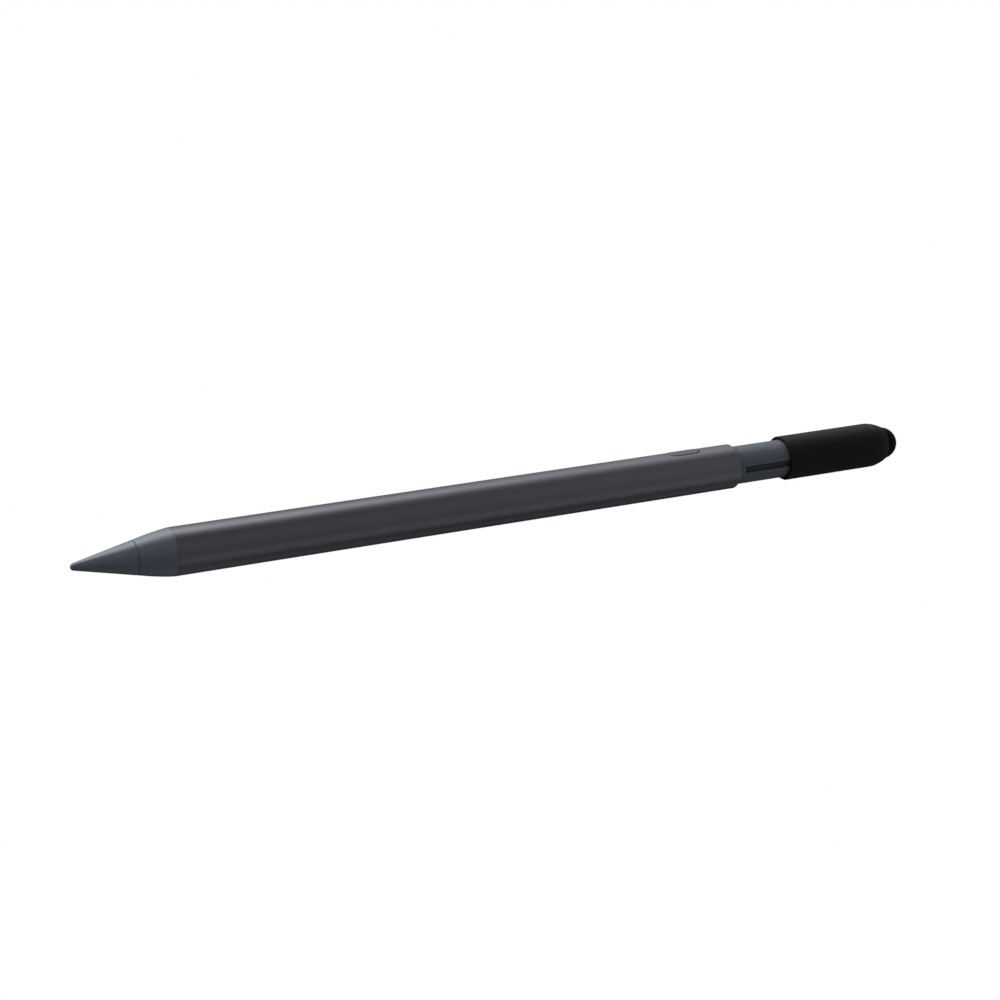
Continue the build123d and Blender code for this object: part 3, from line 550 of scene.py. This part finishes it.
makeNib()
makeStud()
print("nib and stud made")


# nose collar and barrel

barrel = span("barrel")
flatDepth = -barrel["bottom"]
collarShape = {
    "bulge": 0.1, "rows": 24, "frontRound": 0.06, "rearRound": 0.06,
    "boreRadius": 1.25, "boreLength": 1.3, "cavityRadius": 2.6, "boreRound": 0.06, "spigotRound": 0.15,
    "edge": 0.05,
}
barrelShape = {
    "wall": 0.5, "lip": 0.8, "frontRound": 0.08, "rearRound": 0.34,
    "slotLength": 7.15, "slotWidth": 3.0, "buttonSetback": 11.1, "edge": 0.04,
}
fitGap = 0.03  # between pieces that are pressed together
boreRadius = barrel["radius"] - barrelShape["wall"]
barrelCut = barrel["radius"] - flatDepth
buttonX = barrel["end"] - barrelShape["buttonSetback"]


def bulgedRows(first, last, bulge, rows, flat):
    # stations along an outside that swells between two (x, radius) ends, cut by the flat where it passes it
    made = []
    for row in range(rows + 1):
        share = row / rows
        radius = first[1] + (last[1] - first[1]) * share + 4 * bulge * share * (1 - share)
        made.append((first[0] + (last[0] - first[0]) * share, radius, max(0.0, radius - flat), 0))
    return made


def makeCollar():
    # the nib's line carried on to the barrel, and a spigot that goes into it
    look, reach = collarShape, span("nose_collar")
    front, spigot = reach["start"], reach["end"]
    outside = bulgedRows((front, span("nib_tip")["radius"]), (barrel["start"], barrel["radius"]),
                         look["bulge"], look["rows"], flatDepth)
    outside[0] = (*outside[0][:3], look["frontRound"])
    outside[-1] = (*outside[-1][:3], look["rearRound"])
    step = front + look["boreLength"]
    corners = [
        *outside,
        (barrel["start"], boreRadius - fitGap, barrelCut, 0),
        (spigot, boreRadius - fitGap, barrelCut, look["spigotRound"]),
        (spigot, look["cavityRadius"], 0, 0), (step, look["cavityRadius"], 0, 0),
        (step, look["boreRadius"], 0, 0), (front, look["boreRadius"], 0, look["boreRound"]),
    ]
    addPiece("noseCollar", turnedShape(corners, loop=True), "nose_collar", look["edge"])


stadiumSteps = 24
nearlyRound = 0.999  # a stadium's width over its length, just short of a circle so that its sides keep a run


def stadium(length, width, height, middle):
    # a flat ring with round ends, at a height that may follow a function of y
    ring = []
    for end in (1, -1):
        for step in range(stadiumSteps + 1):
            angle = -math.pi / 2 + math.pi * step / stadiumSteps
            x = end * ((length - width) / 2 + width / 2 * math.cos(angle))
            y = end * width / 2 * math.sin(angle)
            ring.append(place(middle + x, y, height(y) if callable(height) else height))
    return ring


def cappedRings(rings):
    # joined rings with both ends filled
    shape = bmesh.new()
    shape.from_mesh(joinRings(rings))
    bmesh.ops.holes_fill(shape, edges=[edge for edge in shape.edges if edge.is_boundary])
    bmesh.ops.recalc_face_normals(shape, faces=shape.faces)
    return finishShape(shape)


def makeBarrel():
    # a tube with a lip that the end ring sits behind, and the button's slot through its top
    look = barrelShape
    tube = span("charging_tube")
    lipRadius = tube["radius"] + fitGap / 2
    lipCut = tube["radius"] + tube["bottom"]
    corners = [
        (barrel["start"], barrel["radius"], barrelCut, look["frontRound"]),
        (barrel["end"], barrel["radius"], barrelCut, look["rearRound"]),
        (barrel["end"], lipRadius, lipCut, 0), (barrel["end"] - look["lip"], lipRadius, lipCut, 0),
        (barrel["end"] - look["lip"], boreRadius, barrelCut, 0), (barrel["start"], boreRadius, barrelCut, 0),
    ]
    slot = cappedRings([
        stadium(look["slotLength"], look["slotWidth"], height, buttonX) for height in (0, 2 * barrel["radius"])
    ])
    addPiece("barrelTube", carve(turnedShape(corners, loop=True), slot), "barrel", look["edge"])


makeCollar()
makeBarrel()
print("collar and barrel made")


# power button

buttonShape = {
    "length": 6.85, "width": 2.7, "flangeLength": 7.85, "flangeWidth": 3.7, "flangeDepth": 1.1,
    "flangeClearance": 0.06, "proud": 0.06, "edge": 0.12, "edgeSteps": 6, "topRows": 8, "stemRadius": 0.8,
    "crestWidth": 0.0005,
}


def makeButton():
    # a stem, a flange that keeps it in the barrel, and a crowned top with a soft edge
    look = buttonShape
    top = barrel["radius"] + look["proud"]
    under = boreRadius - look["flangeClearance"]
    flangeBottom = boreRadius - look["flangeDepth"]
    stemBottom = span("power_button")["bottom"]

    def crown(radius, drop=0.0):
        # a height that follows the barrel's round
        return lambda y: math.sqrt(radius ** 2 - y ** 2) - drop

    stem = 2 * look["stemRadius"]
    crest = look["crestWidth"]
    rings = [
        stadium(4 * crest, 2 * crest, stemBottom, buttonX),
        stadium(stem, stem * nearlyRound, stemBottom, buttonX),
        stadium(stem, stem * nearlyRound, flangeBottom, buttonX),
        stadium(look["flangeLength"], look["flangeWidth"], flangeBottom, buttonX),
        stadium(look["flangeLength"], look["flangeWidth"], crown(under), buttonX),
        stadium(look["length"], look["width"], crown(under), buttonX),
    ]
    for step in range(look["edgeSteps"] + 1):
        angle = math.pi / 2 * step / look["edgeSteps"]
        inset, drop = look["edge"] * (1 - math.cos(angle)), look["edge"] * (1 - math.sin(angle))
        length, width = look["length"] - 2 * inset, look["width"] - 2 * inset
        rings.append(stadium(length, width, crown(top, drop), buttonX))
    for row in range(1, look["topRows"] + 1):
        inset = look["edge"] + (look["width"] / 2 - look["edge"]) * row / look["topRows"]
        width = max(look["width"] - 2 * inset, crest)
        rings.append(stadium(look["length"] - 2 * inset, width, crown(top), buttonX))
    addPiece("powerButton", cappedRings(rings), "power_button")


makeButton()
print("button made")


# end ring and charging tube

ringShape = {"rearRound": 0.1, "frontRound": 0.15, "bore": 3.3, "edge": 0.04}
# the groove's half height, and how far from the axis its floor and sides lie
tubeShape = {"edge": 0.05, "grooveHalf": 0.66, "grooveFloor": 3.3, "grooveTop": 3.78}


def makeEndRing():
    # a ring that closes the barrel's end, flush with the tube that comes out of it
    look, reach, tube = ringShape, span("end_ring"), span("charging_tube")
    tubeCut = tube["radius"] + tube["bottom"]
    seatEnd = barrel["end"] - barrelShape["lip"]
    corners = [
        (reach["start"], boreRadius - fitGap, barrelCut, look["frontRound"]),
        (seatEnd, boreRadius - fitGap, barrelCut, 0),
        (seatEnd, tube["radius"], tubeCut, 0), (reach["end"], tube["radius"], tubeCut, look["rearRound"]),
        (reach["end"], look["bore"], 0, 0), (reach["start"], look["bore"], 0, 0),
    ]
    addPiece("endRing", turnedShape(corners, loop=True), "end_ring", look["edge"])


flatAngle = 0.5  # degrees; CAD facets that meet at less than this become one face


def softened(node, name, edgeRound=0.0, otherFinish=None, isOther=None):
    # the CAD shape with its hard edges broken, and another finish on the faces that isOther picks
    shape = bmesh.new()
    shape.from_mesh(nodes[node].data)
    bmesh.ops.remove_doubles(shape, verts=shape.verts, dist=weld["cad"])
    bmesh.ops.dissolve_degenerate(shape, edges=shape.edges, dist=weld["cadThinnest"])
    bmesh.ops.dissolve_limit(shape, angle_limit=math.radians(flatAngle), verts=shape.verts, edges=shape.edges)
    for face in shape.faces:
        face.material_index = 1 if isOther and isOther(face) else 0
    itsFinishes = [finishes[nodeSlots[node]]] + ([otherFinish] if otherFinish else [])
    return addPiece(name, finishShape(shape, *itsFinishes), node, edgeRound, cadEdgeAngle)


def facesAlong(face, axis):
    # whether a face looks along one of the frame's axes, either way, more than across it
    return abs(face.normal[axis]) > 0.5


def inGroove(face):
    # the guide grooves run along both sides of the tube at the axis's height; their faces take the darker
    # nylon, painted shade for the recess
    look, middle = tubeShape, face.calc_center_median()
    across, up = abs(middle.y) / millimetre, abs(middle.z - axisZ) / millimetre
    inside = up < look["grooveHalf"] and look["grooveFloor"] < across < look["grooveTop"]
    return inside and not facesAlong(face, 0)


makeEndRing()
# the tube, with the groove's faces in the darker nylon of painted shade
softened("charging_tube", "chargingTube", tubeShape["edge"], grooveShadeNylon, inGroove)
print("ring and tube made")


# cap

capShape = {
    "wall": 0.6, "rimRound": 0.12, "rimInnerRound": 0.1, "rearRound": 0.07, "keyOverlap": 1.0,
    "endBulge": 0.16, "endRows": 20, "endFrontRound": 0.1, "rubbedEdge": 0.09, "endRearRound": 0.1,
    "spigotRound": 0.15, "socketRadius": 3.3, "socketRound": 0.06, "seatDepth": 2.5,
    "boreRadius": 1.2, "boreDepth": 3.2, "rearRadius": 3.6, "edge": 0.04,
}
cap = span("cap_sleeve")
capCut = cap["radius"] + cap["bottom"]
capBore = cap["radius"] - capShape["wall"]


def blockShape(low, high):
    # a block between two corners given in mm from the nib's tip
    shape = bmesh.new()
    bmesh.ops.create_cube(shape, size=1.0)
    low, high = place(*low), place(*high)
    for vertex in shape.verts:
        vertex.co = Vector([high[i] if vertex.co[i] > 0 else low[i] for i in range(3)])
    return shape


def makeCapSleeve():
    # a plain sleeve, with recesses for the guide keys in its bore
    look = capShape
    corners = [
        (cap["start"], cap["radius"], capCut, look["rimRound"]),
        (cap["end"], cap["radius"], capCut, look["rearRound"]),
        (cap["end"], capBore, capCut, 0), (cap["start"], capBore, capCut, look["rimInnerRound"]),
    ]
    keys = span("guide_keys")
    recesses = []
    for side in (-1, 1):
        near, far = sorted((side * (capBore - look["keyOverlap"]), side * keys["radius"]))
        recesses.append(finishShape(
            blockShape((keys["start"], near, keys["bottom"]), (keys["end"], far, keys["top"]))
        ))
    addPiece("capSleeve", carve(turnedShape(corners, loop=True), *recesses), "cap_sleeve", look["edge"])


def makeCapEnd():
    # a tapered end with a spigot into the sleeve and a socket for the dome
    look, reach = capShape, span("cap_end")
    outside = bulgedRows((cap["end"], cap["radius"]), (reach["end"], look["rearRadius"]),
                         look["endBulge"], look["endRows"], -cap["bottom"])
    outside[0] = (*outside[0][:3], look["endFrontRound"])
    outside[-1] = (*outside[-1][:3], look["endRearRound"])
    seat = reach["end"] - look["seatDepth"]
    spigot = capBore - fitGap
    corners = [
        (reach["start"], 0, 0, 0), (reach["start"], spigot, capCut, look["spigotRound"]),
        (cap["end"], spigot, capCut, 0),
        *outside,
        (reach["end"], look["socketRadius"], 0, look["socketRound"]), (seat, look["socketRadius"], 0, 0),
        (seat, look["boreRadius"], 0, 0), (seat - look["boreDepth"], look["boreRadius"], 0, 0),
        (seat - look["boreDepth"], 0, 0, 0),
    ]
    mesh = turnedShape(corners)
    mesh.materials.append(finishes[nodeSlots["cap_end"]])
    mesh.materials.append(rubbedAbs)
    edge = place(cap["end"] + look["rubbedEdge"], 0, 0).x
    for face in mesh.polygons:
        if face.center.x < edge and math.hypot(face.center.y, face.center.z - axisZ) > capBore * millimetre:
            face.material_index = 1
    addPiece("capEnd", mesh, "cap_end", look["edge"])


domeShape = {"straight": 2.8, "bore": 2.1, "hollow": 2.47, "rows": 24, "seatRound": 0.1}


def makeDome():
    # a hollow round end on a straight collar
    look, reach = domeShape, span("rubber_dome")
    shoulder = reach["start"] + look["straight"]
    outside = [(reach["start"], look["bore"], 0, 0), (reach["start"], reach["radius"], 0, look["seatRound"])]
    inside = [(shoulder, look["bore"], 0, 0)]
    for skin, length, radius in ((outside, reach["end"] - shoulder, reach["radius"]),
                                 (inside, look["hollow"], look["hollow"])):
        for row in range(look["rows"] + 1):
            angle = math.pi / 2 * row / look["rows"]
            skin.append((shoulder + length * math.sin(angle), radius * math.cos(angle), 0, 0))
    addPiece("rubberDome", turnedShape([*inside[::-1], *outside]), "rubber_dome")


makeCapSleeve()
makeCapEnd()
makeDome()
print("cap made")


# electronics and fittings

cutAbove = 1.0  # how far a cutter runs past the face that it cuts


def looseBoxes(node):
    # the box of each separate solid in a node, in mm along, across and up
    shape = bmesh.new()
    shape.from_mesh(nodes[node].data)
    bmesh.ops.remove_doubles(shape, verts=shape.verts, dist=weld["cad"])
    shape.verts.index_update()
    origin = place(0, 0, 0)
    seen, boxes = set(), []
    for start in shape.verts:
        if start.index in seen:
            continue
        seen.add(start.index)
        group = [start]
        for vertex in group:
            for edge in vertex.link_edges:
                other = edge.other_vert(vertex)
                if other.index not in seen:
                    seen.add(other.index)
                    group.append(other)
        boxes.append([
            (Vector([pick(vertex.co[i] for vertex in group) for i in range(3)]) - origin) / millimetre
            for pick in (min, max)
        ])
    shape.free()
    return sorted(boxes, key=lambda pair: tuple(pair[0]))


def addBlock(shape, low, high, edge, finish=0):
    # a block with rounded edges, added to a shape. The finish is its number in the piece's list of finishes
    block = blockShape(low, high)
    bmesh.ops.bevel(block, geom=block.edges[:], offset=edge * millimetre, segments=bevelSteps, profile=0.5,
                    affect="EDGES")
    for face in block.faces:
        face.material_index = finish
    mesh = finishShape(block)
    shape.from_mesh(mesh)
    bpy.data.meshes.remove(mesh)


def roundWell(width, height, middle):
    # a round ring for a shallow well, with just enough of a straight run to be a stadium
    return stadium(width + 4 * buttonShape["crestWidth"], width, height, middle)


chipShape = {
    "edge": 0.05, "inset": 0.03, "standOff": 0.02, "padPitch": 0.5, "padWidth": 0.26, "padHeight": 0.2,
    "padDepth": 0.35, "padEdge": 0.02, "padMargin": 0.5,
    "dimpleWidth": 0.5, "dimpleDepth": 0.06, "dimpleInset": 0.75,
}


def makeChip(node, name):
    # moulded package with a pin-one dimple, on tinned pads along its four edges
    look = chipShape
    (low, high), = looseBoxes(node)
    inset = Vector((look["inset"], look["inset"], 0))
    package = bmesh.new()
    addBlock(package, low + inset + Vector((0, 0, look["standOff"])), high - inset, look["edge"])
    aside = Vector((0, (low.y + look["dimpleInset"]) * millimetre, 0))
    rings = [roundWell(look["dimpleWidth"], height, low.x + look["dimpleInset"])
             for height in (high.z - look["dimpleDepth"], high.z + cutAbove)]
    dimple = cappedRings([[point + aside for point in ring] for ring in rings])
    shape = bmesh.new()
    shape.from_mesh(carve(finishShape(package), dimple))
    for along, across in ((0, 1), (1, 0)):
        length = high[along] - low[along] - 2 * look["padMargin"]
        count = int(length / look["padPitch"])
        for index in range(count):
            spot = (low[along] + high[along]) / 2 + (index - (count - 1) / 2) * look["padPitch"]
            for edge, inward in ((low[across], 1), (high[across], -1)):
                near, far = sorted((edge, edge + inward * look["padDepth"]))
                first, last = [0, 0, low.z], [0, 0, low.z + look["padHeight"]]
                first[along], last[along] = spot - look["padWidth"] / 2, spot + look["padWidth"] / 2
                first[across], last[across] = near, far
                addBlock(shape, first, last, look["padEdge"], 1)
    addPiece(name, finishShape(shape, chipEpoxy, tinnedCopper), node)


capacitorShape = {"endShare": 0.24, "inset": 0.02, "edge": 0.04}


def makeCapacitors():
    # ceramic bodies between tinned ends
    look = capacitorShape
    shape = bmesh.new()
    for low, high in looseBoxes("capacitors"):
        reach = (high.x - low.x) * look["endShare"]
        inset = Vector((0, look["inset"], look["inset"]))
        addBlock(shape, low, (low.x + reach, high.y, high.z), look["edge"], 1)
        addBlock(shape, (high.x - reach, low.y, low.z), high, look["edge"], 1)
        addBlock(shape, low + inset + Vector((reach - look["edge"], 0, 0)),
                 high - inset - Vector((reach - look["edge"], 0, 0)), look["inset"])
    addPiece("chipCapacitors", finishShape(shape, firedCeramic, tinnedCopper), "capacitors")


crystalShape = {"footShare": 0.35, "inset": 0.14, "lidEdge": 0.12, "lidSunk": 0.05, "footEdge": 0.04}


def makeCrystal():
    # a ceramic foot with a drawn metal lid seam-welded on it
    look = crystalShape
    (low, high), = looseBoxes("crystal")
    seam = low.z + (high.z - low.z) * look["footShare"]
    inset = Vector((look["inset"], look["inset"], 0))
    shape = bmesh.new()
    addBlock(shape, low, (high.x, high.y, seam), look["footEdge"])
    addBlock(shape, Vector((low.x, low.y, seam - look["lidSunk"])) + inset, high - inset, look["lidEdge"], 1)
    addPiece("crystalCan", finishShape(shape, firedCeramic, platedSteel), "crystal")


coilShape = {
    "edge": 0.14, "inset": 0.03, "wellWidth": 2.0, "wellDepth": 0.12,
    "terminalDepth": 0.35, "terminalHeight": 0.3, "terminalInset": 0.3, "terminalEdge": 0.03,
}


def makeCoil():
    # moulded inductor: a ferrite block with a shallow round well and two terminals
    look = coilShape
    (low, high), = looseBoxes("boost_coil")
    inset, aside = look["inset"], look["terminalInset"]
    ferrite = bmesh.new()
    addBlock(ferrite, low + Vector((inset, inset, inset)), high - Vector((inset, inset, 0)), look["edge"])
    well = cappedRings([roundWell(look["wellWidth"], height, (low.x + high.x) / 2)
                        for height in (high.z - look["wellDepth"], high.z + cutAbove)])
    shape = bmesh.new()
    shape.from_mesh(carve(finishShape(ferrite), well))
    for first, last in ((low.x, low.x + look["terminalDepth"]), (high.x - look["terminalDepth"], high.x)):
        addBlock(shape, (first, low.y + aside, low.z), (last, high.y - aside, low.z + look["terminalHeight"]),
                 look["terminalEdge"], 1)
    addPiece("boostInductor", finishShape(shape, chipEpoxy, tinnedCopper), "boost_coil")


antennaShape = {
    "edge": 0.04, "endShare": 0.16, "inset": 0.03, "endInset": 0.05,
    "stripes": 5, "stripeWidth": 0.14, "stripeHeight": 0.02, "stripeInset": 0.2, "stripeEdge": 0.008,
}


def makeAntenna():
    # ceramic block with printed silver stripes and tinned ends
    look = antennaShape
    (low, high), = looseBoxes("chip_antenna")
    reach = (high.y - low.y) * look["endShare"]
    shape = bmesh.new()
    addBlock(shape, low + Vector((look["inset"], look["endInset"], 0)),
             high - Vector((look["inset"], look["endInset"], look["stripeHeight"])), look["edge"])
    addBlock(shape, low, (high.x, low.y + reach, high.z), look["edge"], 1)
    addBlock(shape, (low.x, high.y - reach, low.z), high, look["edge"], 1)
    room = high.y - low.y - 2 * reach
    for index in range(look["stripes"]):
        middle = low.y + reach + room * (index + 0.5) / look["stripes"]
        near, far = middle - look["stripeWidth"] / 2, middle + look["stripeWidth"] / 2
        addBlock(shape, (low.x + look["stripeInset"], near, high.z - 3 * look["stripeHeight"]),
                 (high.x - look["stripeInset"], far, high.z), look["stripeEdge"], 1)
    addPiece("ceramicAntenna", finishShape(shape, firedCeramic, tinnedCopper), "chip_antenna")


def pressSnapDome(disc):
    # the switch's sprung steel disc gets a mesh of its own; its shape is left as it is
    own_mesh(disc)


def isCutEdge(face):
    # a board's cut edges stand upright
    return not facesAlong(face, 2)


def isCanEnd(face):
    # the battery can's bare ends
    return facesAlong(face, 0)


chips = {"controller_chip": "controllerPackage", "radio_chip": "radioPackage", "power_chip": "chargerPackage"}
# each fitting's name and edge rounding, and where it has them, its other finish and the faces that take it
fittings = {
    "front_board": ("frontBoard", 0.03, cutLaminate, isCutEdge),
    "rear_board": ("rearBoard", 0.03, cutLaminate, isCutEdge),
    "usb_board": ("portBoard", 0.03, cutLaminate, isCutEdge),
    "battery_cell": ("batteryCell", 0.15, platedSteel, isCanEnd),
    "bar_magnets": ("barMagnets", 0.08),
    "magnet_yokes": ("magnetYokes", 0.04),
    "guide_keys": ("guideKeys", 0.08),
    "usb_shell": ("portShell", 0.05),
    "usb_tongue": ("portTongue", 0.04),
    "tact_switch": ("switchBody", 0.04),
    "switch_dome": ("snapDome",),
    "chassis": ("carrierFrame", 0.08),
}
for node, name in chips.items():
    makeChip(node, name)
makeCapacitors()
makeCrystal()
makeCoil()
makeAntenna()
made = {node: softened(node, *fitting) for node, fitting in fittings.items()}
pressSnapDome(made["switch_dome"])
print("electronics and fittings made")


# floor and light

# the studio's soft panels, far off. Elevations turn about the pen, from the front's horizon up and over
studio = {
    "roomSize": 12.0,  # metres
    "floorGap": 0.02,  # mm under the pen's flat, so that the two faces don't fight
    "panelEdges": (-110, -85, -55, -25, 5, 35, 60, 75, 90, 105, 120, 135, 150),
    "columnEdges": (0.1, 0.28, 0.45, 0.7),  # along the pen, as a direction's X
    "blend": 0.04,
    "panels": (
        (0.04, 0.10, 0.15, 0.12, 0.20, 0.31, 0.44, 0.02, 0.02, 1.65, 3.37, 2.95, 1.89, 1.23),
        (0.09, 0.46, 0.29, 0.28, 0.02, 0.02, 0.02, 0.00, 0.00, 0.30, 3.80, 3.20, 1.55, 0.74),
        (0.07, 0.15, 0.01, 0.50, 0.24, 0.37, 0.34, 0.00, 0.00, 0.00, 2.20, 1.56, 0.40, 0.14),
        (0.01, 0.27, 0.08, 0.49, 0.36, 0.43, 0.45, 0.44, 0.28, 0.97, 1.34, 1.01, 0.83, 0.61),
        (0.01, 0.18, 0.08, 0.40, 0.33, 0.38, 0.38, 0.30, 0.18, 0.35, 0.40, 0.33, 0.26, 0.20),
    ),
    "endFade": (0.72, 0.94), "endShade": 0.35,  # past the pen's ends the panels give way to plain wall
    "brightest": 4.0,
    "shadeTint": (0.97, 0.975, 1.03, 1.0),
    "lightTint": (1.03, 1.0, 0.95, 1.0),
}


def makeRoom():
    # floor, walls and ceiling of pale card, kept out of the pen's reflections as a light table would be
    low = cadBox[0].z - studio["floorGap"] * millimetre
    shape = bmesh.new()
    bmesh.ops.create_cube(shape, size=studio["roomSize"])
    bmesh.ops.translate(shape, verts=shape.verts, vec=(0, 0, studio["roomSize"] / 2 + low))
    material = bpy.data.materials.new("paleCard")
    material.use_nodes = True
    tree = material.node_tree
    tree.nodes.clear()
    glow = addNode(tree, "Emission", {"Color": (1, 1, 1, 1), "Strength": 1.0})
    output = addNode(tree, "OutputMaterial")
    tree.links.new(glow.outputs["Emission"], output.inputs["Surface"])
    floor = looseObject(finishShape(shape, material), "floor")
    floor.visible_diffuse = False
    floor.visible_glossy = False
    floor.visible_shadow = False


def makeStudio():
    # each column of panels is a ramp over elevation, and the columns blend into each other along the pen
    world = bpy.data.worlds.new("studio")
    world.use_nodes = True
    sky = world.node_tree
    direction = addNode(sky, "SeparateXYZ", {"Vector": addNode(sky, "TexCoord").outputs["Generated"]})
    front = addNode(sky, "Math", {0: direction.outputs["Y"], 1: -1.0}, operation="MULTIPLY")
    elevation = addNode(sky, "Math", {0: direction.outputs["Z"], 1: front.outputs[0]}, operation="ARCTAN2")
    share = addNode(sky, "MapRange", {"Value": elevation.outputs[0], "From Min": -math.pi, "From Max": math.pi})
    shade = None
    circle = 360  # degrees that the ramp spans, from straight back at the floor round to the same place
    for index, panels in enumerate(studio["panels"]):
        ramp = addNode(sky, "ValToRGB", {"Fac": share.outputs["Result"]})
        ramp.color_ramp.interpolation = "CONSTANT"
        stops = ramp.color_ramp.elements
        stops.remove(stops[1])
        for edge, value in zip((-circle / 2, *studio["panelEdges"]), panels):
            stop = stops.new(edge / circle + 0.5) if edge > -circle / 2 else stops[0]
            stop.color = (*[value / studio["brightest"]] * 3, 1.0)
        if index == 0:
            shade = ramp.outputs["Color"]
            continue
        edge = studio["columnEdges"][index - 1]
        along = addNode(sky, "MapRange", {
            "Value": direction.outputs["X"],
            "From Min": edge - studio["blend"], "From Max": edge + studio["blend"],
        }, interpolation_type="SMOOTHSTEP")
        shade = addNode(sky, "Mix", {0: along.outputs["Result"], 6: shade, 7: ramp.outputs["Color"]},
                        data_type="RGBA").outputs[2]
    side = addNode(sky, "Math", {0: direction.outputs["X"]}, operation="ABSOLUTE")
    wall = addNode(sky, "MapRange", {
        "Value": side.outputs[0], "From Min": studio["endFade"][0], "From Max": studio["endFade"][1],
    }, interpolation_type="SMOOTHSTEP")
    plain = (*[studio["endShade"] / studio["brightest"]] * 3, 1.0)
    shade = addNode(sky, "Mix", {0: wall.outputs["Result"], 6: shade, 7: plain}, data_type="RGBA").outputs[2]
    tint = addNode(sky, "Mix", {0: shade, 6: studio["shadeTint"], 7: studio["lightTint"]}, data_type="RGBA")
    tinted = addNode(sky, "Mix", {0: 1.0, 6: shade, 7: tint.outputs[2]},
                     data_type="RGBA", blend_type="MULTIPLY")
    background = sky.nodes["Background"]
    sky.links.new(tinted.outputs[2], background.inputs["Color"])
    background.inputs["Strength"].default_value = studio["brightest"]
    bpy.context.scene.world = world


makeRoom()
makeStudio()
bpy.context.scene.view_settings.view_transform = "Standard"
print("floor and light made")
